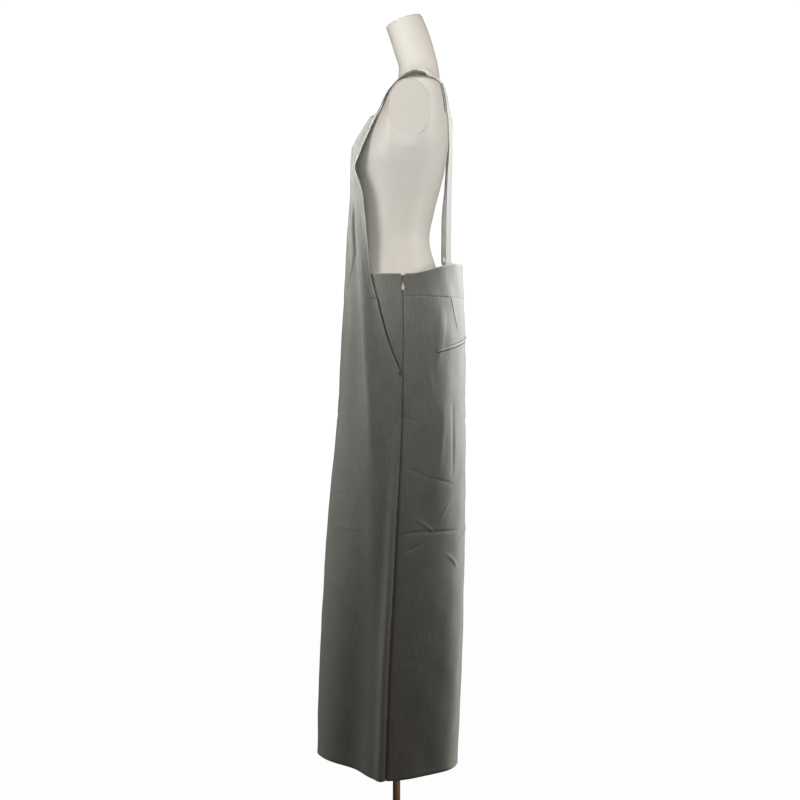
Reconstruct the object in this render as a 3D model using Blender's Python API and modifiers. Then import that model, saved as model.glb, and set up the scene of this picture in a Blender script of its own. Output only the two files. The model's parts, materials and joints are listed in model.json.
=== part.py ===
"""Wide-leg overalls with a V-neck bib, worn by a smooth limbless dress form on a pole stand.

Metres, +Z up. The front of the garment faces -Y and the wearer's left is +X. The origin is on the floor,
at the middle of the base plate's underside. Every cloth panel is a loft through horizontal sections, given
a wall by Solidify. Its points are first pushed out of the form where they come too near it.
"""

import math

import bmesh
import bpy
import numpy as np
from mathutils import Matrix, Vector
from mathutils.bvhtree import BVHTree

# ---- driving dimensions -------------------------------------------------------------------------------
CLOTH = 0.0018  # wall of the suiting cloth, turned once at its edges
SEAM_GAP = 0.0003  # between two pieces at a seam
SIDE_SEAM_GAP = 0.0010  # the side seams bend round a corner, so their walls need more room
FORM_GAP = 0.0009  # between the cloth and the form it rests on

WAIST_SIDE_Z = 1.164  # top edge of the trouser part, at the side seams
WAIST_BACK_Z = 1.191  # the same at the centre back, where the straps lift it
BAND_SEAM_Z = 1.117  # level seam between the back waistband and the back panels
BAND_THICKNESS = 0.0024
NOTCH_DEPTH = 0.011  # the zip's edges open into a small V at the top
NOTCH_HALF_WIDTH = 0.0045
CROTCH_Z = 0.845
FRONT_RISE = 0.130  # height of the curved part of the front crotch seam
BACK_RISE = 0.165
HEM_Z = 0.137  # hem at the side seams
HEM_LIFT_FRONT = 0.028  # how much higher the hem hangs at the front crease
HEM_LIFT_BACK = 0.010
SEAT_SHIFT = -0.025  # the crotch seam lies to the wearer's right of the pole
V_POINT_Z = 1.425  # lowest point of the neckline
BIB_TOP_Z = 1.500  # above this height the bib is a shoulder strap
NECK_X = 0.060  # neckline at the shoulder
POCKET_END_Z = 0.942  # where the slanted pocket mouth meets the side seam
POCKET_DEPTH = 0.0030  # how far the side panel lies behind the pocket's edge
POCKET_UNDERLAP = 0.010  # how far it goes on under that edge

STRAP_THICKNESS = 0.0024  # back straps, two layers
STRAP_END_Z = 1.150  # their lower end, inside the waistband
STRAP_WIDTH = 0.030
BUTTON_RADIUS = 0.0075
BUTTON_THICKNESS = 0.0026
BUTTON_Z = 1.2105
WELT_THICKNESS = 0.0012
WELT_HEIGHT = 0.008
WELT_GAP = 0.0011  # over the curve of the panel under it
WELT_FROM_SEAM = (0.085, 0.205)  # its ends, measured round the hip from the side seam
WELT_Z = (1.0035, 1.0335)  # its height at those ends

ZIP_END_Z = 1.020
TAPE_HALF_WIDTH = 0.010
TAPE_THICKNESS = 0.0008
SLIDER_Z = 1.1465  # hinge of the slider's pull
SLIDER_HEIGHT = 0.0050
SLIDER_WIDTH = 0.0044
LUG_THICKNESS = 0.0008
LUG_REACH = 0.0008  # past the hinge
PULL_OUT = 0.0035  # from the cloth's face to the hinge axis

POLE_RADIUS = 0.008
BASE_RADIUS = 0.145
BASE_THICKNESS = 0.006
FORM_BOTTOM_Z = 0.960

# Cloth ring at each height, measured on the crease lines and at the side seam. A flat is the crease's
# place, as a share of the way from the centre to the side; a power is the roundness from there to the side.
RING_COLUMNS = (
    "z", "front", "back", "side_x", "side_y", "front_flat", "front_power", "back_flat", "back_power"
)
RINGS = [
    (0.137, -0.1645, 0.1255, 0.234, -0.021, 0.46, 1.75, 0.50, 1.80),
    (0.200, -0.1640, 0.1288, 0.232, -0.019, 0.46, 1.75, 0.50, 1.80),
    (0.370, -0.1590, 0.1361, 0.229, -0.013, 0.46, 1.80, 0.50, 1.85),
    (0.500, -0.1523, 0.1396, 0.226, -0.006, 0.46, 1.85, 0.50, 1.95),
    (0.660, -0.1425, 0.1435, 0.222, 0.002, 0.45, 1.95, 0.48, 2.05),
    (0.780, -0.1322, 0.1447, 0.217, 0.009, 0.43, 2.05, 0.46, 2.15),
    (0.900, -0.1220, 0.1451, 0.209, 0.0135, 0.36, 2.15, 0.38, 2.25),
    (1.030, -0.1160, 0.1455, 0.190, 0.0135, 0.30, 2.20, 0.30, 2.30),
    (1.100, -0.1120, 0.1430, 0.169, 0.0135, 0.28, 2.20, 0.20, 2.15),
    (1.164, -0.1092, 0.1405, 0.149, 0.0135, 0.28, 2.20, 0.10, 2.00),
    (1.250, -0.1050, 0.1350, 0.146, 0.006, 0.30, 2.20, 0.10, 2.00),
    (1.330, -0.0980, 0.1250, 0.146, 0.000, 0.45, 2.20, 0.10, 2.00),
    (1.400, -0.0957, 0.1150, 0.150, -0.012, 0.60, 2.20, 0.10, 2.00),
    (1.430, -0.0945, 0.1100, 0.148, 0.010, 0.50, 2.20, 0.10, 2.00),
    (1.450, -0.0868, 0.1100, 0.144, 0.018, 0.42, 2.20, 0.10, 2.00),
    (1.500, -0.0580, 0.1100, 0.137, 0.030, 0.33, 2.20, 0.10, 2.00),
]

# Free edge of the front panel: armhole above the waist, pocket mouth below it. z, y
EDGE_COLUMNS = ("z", "y")
FRONT_EDGE = [
    (0.942, 0.0132),
    (0.969, 0.0030),
    (1.004, -0.0115),
    (1.054, -0.0270),
    (1.107, -0.0400),
    (1.164, -0.0530),
    (1.233, -0.0600),
    (1.290, -0.0655),
    (1.332, -0.0700),
    (1.360, -0.0780),
    (1.385, -0.0860),
    (1.420, -0.0740),
    (1.460, -0.0575),
    (1.500, -0.0405),
]

# Rows of points up the panels: closer together where the outline or the crotch seam bends.
LEG_HEIGHTS = (0.137, 0.20, 0.27, 0.34, 0.41, 0.48, 0.55, 0.62, 0.69, 0.75, 0.80, 0.83, 0.845)
SEAT_HEIGHTS = (0.852, 0.862, 0.876, 0.895, 0.918, 0.942, 0.969, 1.0, 1.035, 1.07, 1.10)
BIB_HEIGHTS = (1.135, 1.164, 1.20, 1.24, 1.28, 1.32, 1.35, 1.37, 1.385, 1.405, 1.425, 1.45, 1.475, 1.50)

# Shoulder strap in one with the bib, from the chest over the shoulder: both edges of the cloth.
SHOULDER_COLUMNS = ("neck_x", "neck_y", "neck_z", "arm_x", "arm_y", "arm_z")
SHOULDER = [
    (0.0420, -0.0400, 1.5180, 0.1035, -0.0345, 1.5130),
    (0.0490, -0.0240, 1.5430, 0.1030, -0.0195, 1.5380),
    (0.0560, -0.0020, 1.5740, 0.1020, 0.0030, 1.5620),
    (0.0600, 0.0240, 1.6000, 0.1000, 0.0215, 1.5835),
    (0.0610, 0.0440, 1.6050, 0.1000, 0.0400, 1.5915),
    (0.0620, 0.0650, 1.6020, 0.1000, 0.0585, 1.5850),
    (0.0630, 0.0830, 1.5900, 0.1000, 0.0740, 1.5700),
    (0.0640, 0.0960, 1.5720, 0.0995, 0.0855, 1.5500),
    (0.0645, 0.1060, 1.5480, 0.0985, 0.0915, 1.5320),
    (0.0650, 0.1110, 1.5200, 0.0970, 0.0960, 1.5060),
]

# Back strap below the shoulder: its middle, and the way its outer face looks. 0 degrees is straight back.
STRAP_COLUMNS = ("x", "y", "z", "face")
BACK_STRAP = [
    (0.0810, 0.1130, 1.4920, 20.0),
    (0.0815, 0.1140, 1.4390, 16.0),
    (0.0835, 0.1120, 1.3760, 21.0),
    (0.0850, 0.1105, 1.3340, 25.0),
    (0.0880, 0.1095, 1.2815, 28.0),
    (0.0910, 0.1090, 1.2300, 30.0),
    (0.0925, 0.1088, 1.2000, 31.0),
]

# Largest folds. side: 1 the wearer's left, -1 the right. low_at and high_at are the distance of the fold's
# line from the side seam, measured round the cloth at the fold's low and high end. lift is outwards.
FOLD_COLUMNS = ("panel", "side", "low_z", "high_z", "low_at", "high_at", "width", "lift", "fade")
FOLDS = [
    ("front", 1, 0.10, 0.92, 0.013, 0.008, 0.013, 0.0130, 0.70),
    ("front", 1, 0.10, 0.74, 0.078, 0.056, 0.042, -0.0200, 0.60),
    ("front", 1, 0.72, 1.24, 0.088, 0.070, 0.022, 0.0060, 0.22),
    ("front", 1, 0.98, 1.36, 0.120, 0.104, 0.014, 0.0040, 0.12),
    ("back", 1, 0.10, 0.60, 0.060, 0.050, 0.050, 0.0080, 0.40),
    ("back", 1, 0.62, 1.06, 0.120, 0.118, 0.018, 0.0045, 0.16),
    ("back", 1, 0.10, 0.66, 0.150, 0.138, 0.024, -0.0050, 0.30),
    ("front", -1, 0.10, 0.88, 0.015, 0.010, 0.015, 0.0120, 0.65),
    ("front", -1, 0.10, 0.70, 0.080, 0.060, 0.044, -0.0180, 0.55),
    ("front", -1, 0.76, 1.20, 0.092, 0.074, 0.024, 0.0055, 0.20),
    ("back", -1, 0.10, 0.58, 0.066, 0.056, 0.046, 0.0085, 0.40),
    ("back", -1, 0.60, 1.02, 0.112, 0.120, 0.020, 0.0050, 0.18),
    ("back", -1, 0.10, 0.62, 0.140, 0.150, 0.026, -0.0050, 0.30),
]

# Dress form. z, front y, back y, half width, roundness
FORM_COLUMNS = ("z", "front", "back", "half_width", "power")
FORM = [
    (0.960, -0.0560, 0.0760, 0.112, 2.20),
    (0.964, -0.0680, 0.0880, 0.128, 2.20),
    (0.980, -0.0780, 0.1000, 0.142, 2.20),
    (1.020, -0.0840, 0.1120, 0.158, 2.20),
    (1.060, -0.0850, 0.1150, 0.163, 2.20),
    (1.120, -0.0830, 0.1040, 0.150, 2.20),
    (1.180, -0.0790, 0.0870, 0.133, 2.20),
    (1.247, -0.0730, 0.0710, 0.118, 2.20),
    (1.310, -0.0760, 0.0820, 0.123, 2.20),
    (1.360, -0.0820, 0.0950, 0.134, 2.25),
    (1.405, -0.0870, 0.1055, 0.144, 2.30),
    (1.450, -0.0715, 0.1110, 0.156, 2.35),
    (1.490, -0.0515, 0.1115, 0.170, 2.35),
    (1.525, -0.0330, 0.1080, 0.171, 2.35),
    (1.548, -0.0230, 0.1040, 0.168, 2.35),
    (1.563, -0.0130, 0.1000, 0.158, 2.30),
    (1.572, -0.0080, 0.0970, 0.130, 2.20),
    (1.581, -0.0030, 0.0940, 0.098, 2.10),
    (1.590, 0.0010, 0.0915, 0.072, 2.05),
    (1.602, 0.0040, 0.0885, 0.055, 2.00),
    (1.618, 0.0050, 0.0860, 0.047, 2.00),
    (1.645, 0.0020, 0.0805, 0.0440, 2.00),
    (1.680, -0.0110, 0.0700, 0.0430, 2.00),
    (1.718, -0.0225, 0.0530, 0.0430, 2.00),
]
NECK_TILT = math.radians(19.5)  # how far the neck's cut top leans forwards
NECK_FROM_Z = 1.600
ARM_CUT_X = 0.158  # the form ends in a flat oval here, where an arm would start
ARM_PLATE_THICKNESS = 0.0025
ARM_PLATE = {"y": 0.027, "z": 1.500, "depth": 0.088, "height": 0.122}

# Pull of the zip: height above the hinge, half width, half thickness
PULL = [
    (0.0010, 0.0008, 0.00025),
    (0.0007, 0.0010, 0.00065),
    (0.0000, 0.0010, 0.00090),
    (-0.0007, 0.0010, 0.00065),
    (-0.0014, 0.0010, 0.00045),
    (-0.0028, 0.0010, 0.00045),
    (-0.0055, 0.0014, 0.00045),
    (-0.0100, 0.0020, 0.00045),
    (-0.0140, 0.0024, 0.00045),
    (-0.0165, 0.0020, 0.00045),
    (-0.0178, 0.0012, 0.00040),
    (-0.0184, 0.0005, 0.00025),
]

# Colours as they look in even light: base colour, roughness, metallic
SUITING = ((0.150, 0.150, 0.138, 1.0), 0.75, 0.0)
FORM_SKIN = ((0.76, 0.74, 0.68, 1.0), 0.55, 0.0)
BRONZED_STEEL = ((0.050, 0.036, 0.026, 1.0), 0.35, 0.9)
ZIP_METAL = ((0.36, 0.36, 0.34, 1.0), 0.40, 0.8)
ZIP_TAPE = ((0.045, 0.045, 0.042, 1.0), 0.80, 0.0)
HORN = ((0.060, 0.058, 0.070, 1.0), 0.35, 0.0)


# ---- interpolation ------------------------------------------------------------------------------------
def table(rows, columns):
    """A table's columns as arrays, by name."""
    return dict(zip(columns, np.array(rows, float).T))


def smooth_between(at, xs, ys):
    """Monotone cubic interpolation (Fritsch and Carlson), so that an outline never overshoots its rows."""
    xs, ys, at = np.asarray(xs, float), np.asarray(ys, float), np.asarray(at, float)
    slope = np.diff(ys) / np.diff(xs)
    same_way = slope[:-1] * slope[1:] > 0
    harmonic = np.zeros(len(slope) - 1)
    harmonic[same_way] = 2 / (1 / slope[:-1][same_way] + 1 / slope[1:][same_way])
    tangent = np.concatenate([[slope[0]], harmonic, [slope[-1]]])
    i = np.clip(np.searchsorted(xs, at) - 1, 0, len(xs) - 2)
    h = xs[i + 1] - xs[i]
    t = np.clip((at - xs[i]) / h, 0, 1)
    return (
        (2 * t**3 - 3 * t**2 + 1) * ys[i]
        + (t**3 - 2 * t**2 + t) * h * tangent[i]
        + (3 * t**2 - 2 * t**3) * ys[i + 1]
        + (t**3 - t**2) * h * tangent[i + 1]
    )


def smoothstep(low, high, value):
    t = np.clip((value - low) / (high - low), 0, 1)
    return t * t * (3 - 2 * t)


RING = table(RINGS, RING_COLUMNS)
EDGE = table(FRONT_EDGE, EDGE_COLUMNS)


def ring(z, column):
    return float(smooth_between(z, RING["z"], RING[column]))


def seat_x(z):
    """Where the centre seam lies: on the middle above the hips, shifted at the crotch and below it."""
    return float(SEAT_SHIFT * (1 - smoothstep(CROTCH_Z, 1.10, z)))


def lengths(points):
    return np.concatenate([[0], np.cumsum(np.linalg.norm(np.diff(points, axis=0), axis=1))])


def at_length(points, where):
    along = lengths(points)
    return np.stack([np.interp(where, along, points[:, k]) for k in range(points.shape[1])], 1)


# ---- sections of the cloth ----------------------------------------------------------------------------
ARC_SAMPLES = 60


def bend(start, end, power, along_x):
    """A quarter of a superellipse from start to end, leaving along X if along_x, else along Y."""
    angle = np.linspace(0, math.pi / 2, ARC_SAMPLES)
    out = np.sin(angle) ** (2 / power)
    back = 1 - np.cos(angle) ** (2 / power)
    move_x, move_y = (out, back) if along_x else (back, out)
    return np.stack([start[0] + (end[0] - start[0]) * move_x, start[1] + (end[1] - start[1]) * move_y], 1)


def centre_seam_y(z, rise, outer_y, inner_y):
    """The crotch seam: from the crotch point it curves up into the upright centre seam."""
    q = min(max((z - CROTCH_Z) / rise, 0), 1)
    return inner_y + (outer_y - inner_y) * (1 - (1 - q) ** 2.6)


def inner_gap(z, rise):
    """Half the gap between the two sides at their seam: walls that face each other need room for both."""
    facing_walls = 1 - float(smoothstep(CROTCH_Z + 0.5 * rise, CROTCH_Z + rise, z))
    below = float(np.interp(z, [HEM_Z, CROTCH_Z], [0.0055, 0.0]))
    return SEAM_GAP / 2 + facing_walls * CLOTH * 0.62 + below


def section(panel, side, z):
    """The middle of the cloth at one height, as (x, y): from the centre seam or inseam to the crease, and
    from the crease to the side seam."""
    way = -1 if panel == "front" else 1
    rise = FRONT_RISE if panel == "front" else BACK_RISE
    outer_y = ring(z, panel)
    middle, half = seat_x(z), ring(z, "side_x")
    inseam_y = float(np.interp(z, [HEM_Z, CROTCH_Z], [-0.018, 0.004])) + way * SEAM_GAP / 2
    inner = (middle + side * inner_gap(z, rise), centre_seam_y(z, rise, outer_y, inseam_y))
    crease = (middle + (side * half - middle) * ring(z, panel + "_flat"), outer_y)
    seam = (side * half, ring(z, "side_y") + way * SIDE_SEAM_GAP / 2)
    return bend(inner, crease, 2.0, False), bend(crease, seam, ring(z, panel + "_power"), True)


def neckline_x(z):
    share = min(max((z - V_POINT_Z) / (1.60 - V_POINT_Z), 0), 1)
    return NECK_X * share**0.92


def edge_y(z):
    return float(smooth_between(z, EDGE["z"], EDGE["y"]))


def edge_length(outer, z):
    """Length along the outer part of a front section at which it reaches the panel's free edge."""
    return float(np.interp(edge_y(z), outer[:, 1], lengths(outer)))


def panel_row(panel, side, z, inner_columns, outer_columns):
    """One row of a panel's points, and how far each lies from the side seam."""
    inner, outer = section(panel, side, z)
    start, end = 0.0, lengths(outer)[-1]
    if panel == "front" and z > V_POINT_Z:
        start = float(np.interp(neckline_x(z), side * inner[:, 0], lengths(inner)))
    if panel == "front" and z > POCKET_END_Z:
        end = edge_length(outer, z)
    inner_end = lengths(inner)[-1]
    inner_where = start + (inner_end - start) * inner_columns
    outer_where = end * outer_columns[1:]
    flat = np.concatenate([at_length(inner, inner_where), at_length(outer, outer_where)])
    from_seam = lengths(outer)[-1] - np.concatenate([inner_where - inner_end, outer_where])
    return np.column_stack([flat, hung(flat[:, 1], z)]), from_seam


def hung(y, z):
    """The hem hangs higher at the creases than at the side. Lower rows follow it and upper rows are level."""
    front, back, side_y = ring(z, "front"), ring(z, "back"), ring(z, "side_y")
    lift = HEM_LIFT_FRONT * smoothstep(0, 1, (side_y - y) / (side_y - front))
    lift = lift + HEM_LIFT_BACK * smoothstep(0, 1, (y - side_y) / (back - side_y))
    return z + lift * min(max((0.80 - z) / (0.80 - HEM_Z), 0), 1)


def outward(grid, side):
    """Unit directions out of the garment, level, from the way each row runs."""
    along = np.gradient(grid, axis=1)
    normal = np.stack([along[:, :, 1], -along[:, :, 0], np.zeros(grid.shape[:2])], 2) * side
    return normal / np.maximum(np.linalg.norm(normal, axis=2, keepdims=True), 1e-9)


def fold_lift(panel, side, z, from_seam):
    """How far the folds lift the cloth at each point: each is a soft ridge, or a trough where it is less than 0."""
    lift = np.zeros(np.shape(z))
    for row in FOLDS:
        fold = dict(zip(FOLD_COLUMNS, row))
        if (fold["panel"], fold["side"]) != (panel, side):
            continue
        line = np.interp(z, [fold["low_z"], fold["high_z"]], [fold["low_at"], fold["high_at"]])
        across = np.exp(-(((from_seam - line) / fold["width"]) ** 2))
        below = smoothstep(fold["low_z"], fold["low_z"] + fold["fade"], z) if fold["low_z"] > HEM_Z else 1.0
        above = 1 - smoothstep(fold["high_z"] - fold["fade"], fold["high_z"], z)
        lift = lift + fold["lift"] * across * below * above
    return lift * smoothstep(0, 0.010, from_seam)


def panel_grid(panel, side, heights, inner_columns, outer_columns):
    rows = [panel_row(panel, side, z, inner_columns, outer_columns) for z in heights]
    grid = np.array([row for row, _ in rows])
    from_seam = np.array([far for _, far in rows])
    way = side if panel == "front" else -side
    lift = fold_lift(panel, side, grid[:, :, 2], from_seam)
    return grid + outward(grid, way) * lift[:, :, None], from_seam


# ---- making objects -----------------------------------------------------------------------------------
def clear_scene():
    for obj in list(bpy.data.objects):
        bpy.data.objects.remove(obj)


def collection_named(name):
    made = bpy.data.collections.new(name)
    bpy.context.scene.collection.children.link(made)
    return made


def material(name, finish):
    colour, roughness, metallic = finish
    made = bpy.data.materials.new(name)
    made.use_nodes = True
    shader = made.node_tree.nodes["Principled BSDF"]
    shader.inputs["Base Color"].default_value = colour
    shader.inputs["Roughness"].default_value = roughness
    shader.inputs["Metallic"].default_value = metallic
    return made


def add_object(name, mesh, finish, home):
    made = bpy.data.objects.new(name, mesh)
    home.objects.link(made)
    mesh.materials.append(finish)
    return made


def mesh_from_grid(name, grid, closed=False, capped=False):
    """A mesh of quads through a grid of points: rows upwards, columns round. A closed grid joins its ends."""
    rows, columns = grid.shape[:2]
    mesh = bpy.data.meshes.new(name)
    index = np.arange(rows * columns).reshape(rows, columns)
    across = np.concatenate([index, index[:, :1]], 1) if closed else index
    quads = np.stack([across[:-1, :-1], across[:-1, 1:], across[1:, 1:], across[1:, :-1]], 2)
    faces = quads.reshape(-1, 4).tolist()
    if capped:
        faces += [index[0, ::-1].tolist(), index[-1].tolist()]
    mesh.from_pydata(grid.reshape(-1, 3).tolist(), [], faces)
    mesh.shade_smooth()
    return mesh


def halfway(grid):
    """The grid with a row between each two rows, and a column between each two columns."""
    rows = np.repeat(grid, 2, axis=0)[:-1]
    rows[1::2] = (grid[:-1] + grid[1:]) / 2
    fine = np.repeat(rows, 2, axis=1)[:, :-1]
    fine[:, 1::2] = (rows[:, :-1] + rows[:, 1:]) / 2
    return fine


def clear_of_form(grid, tree, away):
    """Pushes points out until they, and the middles of the edges and faces between them, are away from the form."""
    grid = grid.copy()
    for _ in range(20):
        fine = halfway(grid)
        push = np.zeros(fine.shape)
        for at in np.argwhere(fine[:, :, 2] > FORM_BOTTOM_Z - 0.05):
            place, normal, _, _ = tree.find_nearest(Vector(fine[tuple(at)]), 0.03)
            if place is None:
                continue
            short = away - (Vector(fine[tuple(at)]) - place).dot(normal)
            if short > 0:
                push[tuple(at)] = normal * short
        if not push.any():
            break
        padded = np.pad(push, ((1, 1), (1, 1), (0, 0)))
        rows, columns = grid.shape[:2]
        near = np.stack([
            padded[i : i + 2 * rows - 1 : 2, j : j + 2 * columns - 1 : 2] for i in range(3) for j in range(3)
        ])
        farthest = np.linalg.norm(near, axis=3).argmax(0)
        grid += np.take_along_axis(near, farthest[None, :, :, None], 0)[0]
    return grid


def cloth_object(name, grid, finish, home, thickness=CLOTH):
    """A cloth piece: its grid is the middle of the wall."""
    made = add_object(name, mesh_from_grid(name, grid), finish, home)
    wall = made.modifiers.new("wall", "SOLIDIFY")
    wall.thickness = thickness
    wall.offset = 0
    wall.use_even_offset = False
    return made


def named(base, side):
    return base + ("_left" if side > 0 else "_right")


def facing(grid, side):
    """The grid with its columns turned, where needed, so that its faces look out of the garment."""
    return grid if side > 0 else grid[:, ::-1]


# ---- the form and its stand ---------------------------------------------------------------------------
def form_grid(rows, segments):
    """Superellipse rings up the form, cut flat at the arms, the neck's rings leaning forwards."""
    data = table(FORM, FORM_COLUMNS)
    levels = np.interp(np.linspace(0, len(FORM) - 1, rows), range(len(FORM)), data["z"])
    angle = np.linspace(0, 2 * math.pi, segments, endpoint=False)
    grid = []
    for z in levels:
        front, back, half, power = (float(smooth_between(z, data["z"], data[c])) for c in FORM_COLUMNS[1:])
        middle, depth = (front + back) / 2, (back - front) / 2
        x = half * np.sign(np.cos(angle)) * np.abs(np.cos(angle)) ** (2 / power)
        y = middle + depth * np.sign(np.sin(angle)) * np.abs(np.sin(angle)) ** (2 / power)
        lean = math.tan(NECK_TILT) * float(smoothstep(NECK_FROM_Z, FORM[-1][0], z))
        grid.append(np.column_stack([np.clip(x, -ARM_CUT_X, ARM_CUT_X), y, z + (y - middle) * lean]))
    return np.array(grid)


def make_form(finish, home):
    mesh = mesh_from_grid("form_torso", form_grid(38, 36), closed=True, capped=True)
    return add_object("form_torso", mesh, finish, home)


def make_cylinder(name, segments, radius, depth, place, edge, finish, home):
    """A cylinder with softened edges; place turns its mesh and puts it where it belongs."""
    bpy.ops.mesh.primitive_cylinder_add(vertices=segments, radius=radius, depth=depth)
    made = bpy.context.object
    made.name = name
    made.data.transform(place)
    for old in list(made.users_collection):
        old.objects.unlink(made)
    home.objects.link(made)
    made.data.materials.append(finish)
    if edge:
        rounded = made.modifiers.new("soft_edge", "BEVEL")
        rounded.width = edge
        rounded.segments = 2
    return made


def make_arm_plate(side, finish, home):
    """A thin oval plate that closes the form where an arm would start."""
    turn = Matrix.Rotation(math.pi / 2, 4, "Y")
    size = Matrix.Diagonal((1, ARM_PLATE["depth"], ARM_PLATE["height"], 1))
    off = side * (ARM_CUT_X + SEAM_GAP + ARM_PLATE_THICKNESS / 2)
    place = Matrix.Translation((off, ARM_PLATE["y"], ARM_PLATE["z"])) @ size @ turn
    return make_cylinder(
        named("arm_plate", side), 32, 0.5, ARM_PLATE_THICKNESS, place, 0.0006, finish, home
    )


def make_stand(finish, home):
    def upright(name, segments, radius, low, high, edge):
        place = Matrix.Translation((0, 0, (low + high) / 2))
        make_cylinder(name, segments, radius, high - low, place, edge, finish, home)
        return high + SEAM_GAP

    top = upright("base_plate", 48, BASE_RADIUS, 0.0, BASE_THICKNESS, 0.0012)
    top = upright("pole_socket", 24, 0.018, top, top + 0.022, 0.0012)
    upright("pole", 20, POLE_RADIUS, top, FORM_BOTTOM_Z - SEAM_GAP, 0)


# ---- the garment --------------------------------------------------------------------------------------
FRONT_INNER = np.linspace(0, 1, 5)
FRONT_OUTER = 1 - (1 - np.linspace(0, 1, 10)) ** 1.45
BACK_INNER = np.linspace(0, 1, 5)
BACK_OUTER = np.linspace(0, 1, 9)
STRAP_COLUMN_RANGE = slice(2, 12)  # the shoulder strap's columns that the back strap lies on
OVERLAP_ROWS = 3


def shoulder_rows(side, first_row, steps):
    """Rows of the shoulder strap, from the bib's top row over the shoulder to the strap's end."""
    data = table(SHOULDER, SHOULDER_COLUMNS)
    edges = []
    for name, start in (("neck", first_row[0]), ("arm", first_row[-1])):
        line = np.stack([data[name + "_x"] * side, data[name + "_y"], data[name + "_z"]], 1)
        edges.append(np.concatenate([start[None], line]))
    travel = lengths((edges[0] + edges[1]) / 2)
    at = np.linspace(0, travel[-1], steps + 1)[1:]
    neck, arm = (np.stack([smooth_between(at, travel, e[:, k]) for k in range(3)], 1) for e in edges)
    shares = lengths(first_row)
    shares = shares / shares[-1]
    return neck[:, None] + (arm - neck)[:, None] * shares[None, :, None]


def front_grid(side, heights, inner, outer, strap_steps):
    grid, _ = panel_grid("front", side, heights, inner, outer)
    return np.concatenate([grid, shoulder_rows(side, grid[-1], strap_steps)])


def make_front(side, tree, finish, home):
    grid = front_grid(side, LEG_HEIGHTS + SEAT_HEIGHTS + BIB_HEIGHTS, FRONT_INNER, FRONT_OUTER, 13)
    grid = clear_of_form(grid, tree, FORM_GAP + CLOTH / 2)
    cloth_object(named("front", side), facing(grid, side), finish, home)
    return grid


def back_grid(side, heights, inner, outer):
    return panel_grid("back", side, heights, inner, outer)


def make_back(side, finish, home):
    heights = LEG_HEIGHTS + SEAT_HEIGHTS + (BAND_SEAM_Z - SEAM_GAP,)
    grid, from_seam = back_grid(side, heights, BACK_INNER, BACK_OUTER)
    cloth_object(named("back", side), facing(grid, -side), finish, home)
    return grid, from_seam


def notch(z):
    """How far the zip's edges have drawn back at a height: a small V at the top."""
    return NOTCH_HALF_WIDTH * np.clip((z - WAIST_SIDE_Z + NOTCH_DEPTH) / NOTCH_DEPTH, 0, 1)


def side_front_grid(side, rows, columns):
    """The hip panel behind the slanted pocket, from under the pocket's edge to the zip or side seam."""
    heights = np.append(np.linspace(POCKET_END_Z + 0.012, WAIST_SIDE_Z - NOTCH_DEPTH, rows), WAIST_SIDE_Z)
    grid = []
    for z in heights:
        _, outer = section("front", side, z)
        mouth, total = edge_length(outer, z), lengths(outer)[-1]
        opening = float(notch(z)) if side > 0 else 0.0
        under = min(POCKET_UNDERLAP, 0.4 * mouth)
        where = np.linspace(mouth - under, total - opening, columns)
        row = np.column_stack([at_length(outer, where), np.full(columns, z)])
        behind = POCKET_DEPTH * (1 - smoothstep(0.000, 0.030, where - mouth))
        grid.append(row - outward(row[None], side)[0] * behind[:, None])
    return np.array(grid)


def make_side_front(side, finish, home):
    grid = side_front_grid(side, 9, 6)
    return cloth_object(named("side_front", side), facing(grid, side), finish, home)


def back_top_z(y):
    """Top edge of the waistband: level at the sides and lifted at the centre back."""
    share = (y - ring(WAIST_SIDE_Z, "side_y")) / (ring(WAIST_SIDE_Z, "back") - ring(WAIST_SIDE_Z, "side_y"))
    return WAIST_SIDE_Z + (WAIST_BACK_Z - WAIST_SIDE_Z) * smoothstep(0.1, 1.0, share)


def waistband_grid(columns_a_side, shares):
    """The back waistband, from the left side seam round the back to the right. shares are its heights."""
    grid = []
    for share in shares:
        z = BAND_SEAM_Z + (WAIST_SIDE_Z - BAND_SEAM_Z) * share
        halves = []
        for side in (1, -1):
            inner, outer = section("back", side, z)
            line = np.concatenate([inner[::20], outer[1:]])
            opening = float(notch(z)) if side > 0 else 0.0
            where = np.linspace(0, lengths(line)[-1] - opening, columns_a_side)
            halves.append(at_length(line, where))
        flat = np.concatenate([halves[0][::-1], halves[1][1:]])
        level = BAND_SEAM_Z + (back_top_z(flat[:, 1]) - BAND_SEAM_Z) * share
        grid.append(np.column_stack([flat, level]))
    return np.array(grid)


def make_waistband(finish, home):
    grid = waistband_grid(15, (0, 0.35, 1 - NOTCH_DEPTH / (WAIST_SIDE_Z - BAND_SEAM_Z), 1))
    cloth_object("waistband_back", grid, finish, home, BAND_THICKNESS)
    return grid


def strap_frame(side, z):
    """Middle, direction across and outward direction of the back strap at a height below the shoulder."""
    data = table(BACK_STRAP[::-1], STRAP_COLUMNS)
    x, y, face = (float(smooth_between(z, data["z"], data[c])) for c in ("x", "y", "face"))
    low = BACK_STRAP[-1][2]
    if z < low:
        inner, outer = section("back", 1, min(z, WAIST_SIDE_Z))
        line = np.concatenate([inner, outer[1:]])
        i = int(np.argmin(np.abs(line[:, 0] - BACK_STRAP[-1][0] - 0.005)))
        run = line[i + 1] - line[i - 1]
        away = BAND_THICKNESS / 2 + STRAP_THICKNESS / 2 + 0.0012
        normal = np.array([-run[1], run[0]]) / np.linalg.norm(run)
        goal = line[i] - normal * away
        share = 1 - float(smoothstep(low - 0.026, low, z))
        x, y = x + (goal[0] - x) * share, y + (goal[1] - y) * share
        face += (math.degrees(math.atan2(normal[0], normal[1])) - face) * share
    turn = math.radians(face)
    across = np.array([side * math.cos(turn), -math.sin(turn), 0])
    out = np.array([side * math.sin(turn), math.cos(turn), 0])
    return np.array([side * x, y, z]), across, out


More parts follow.
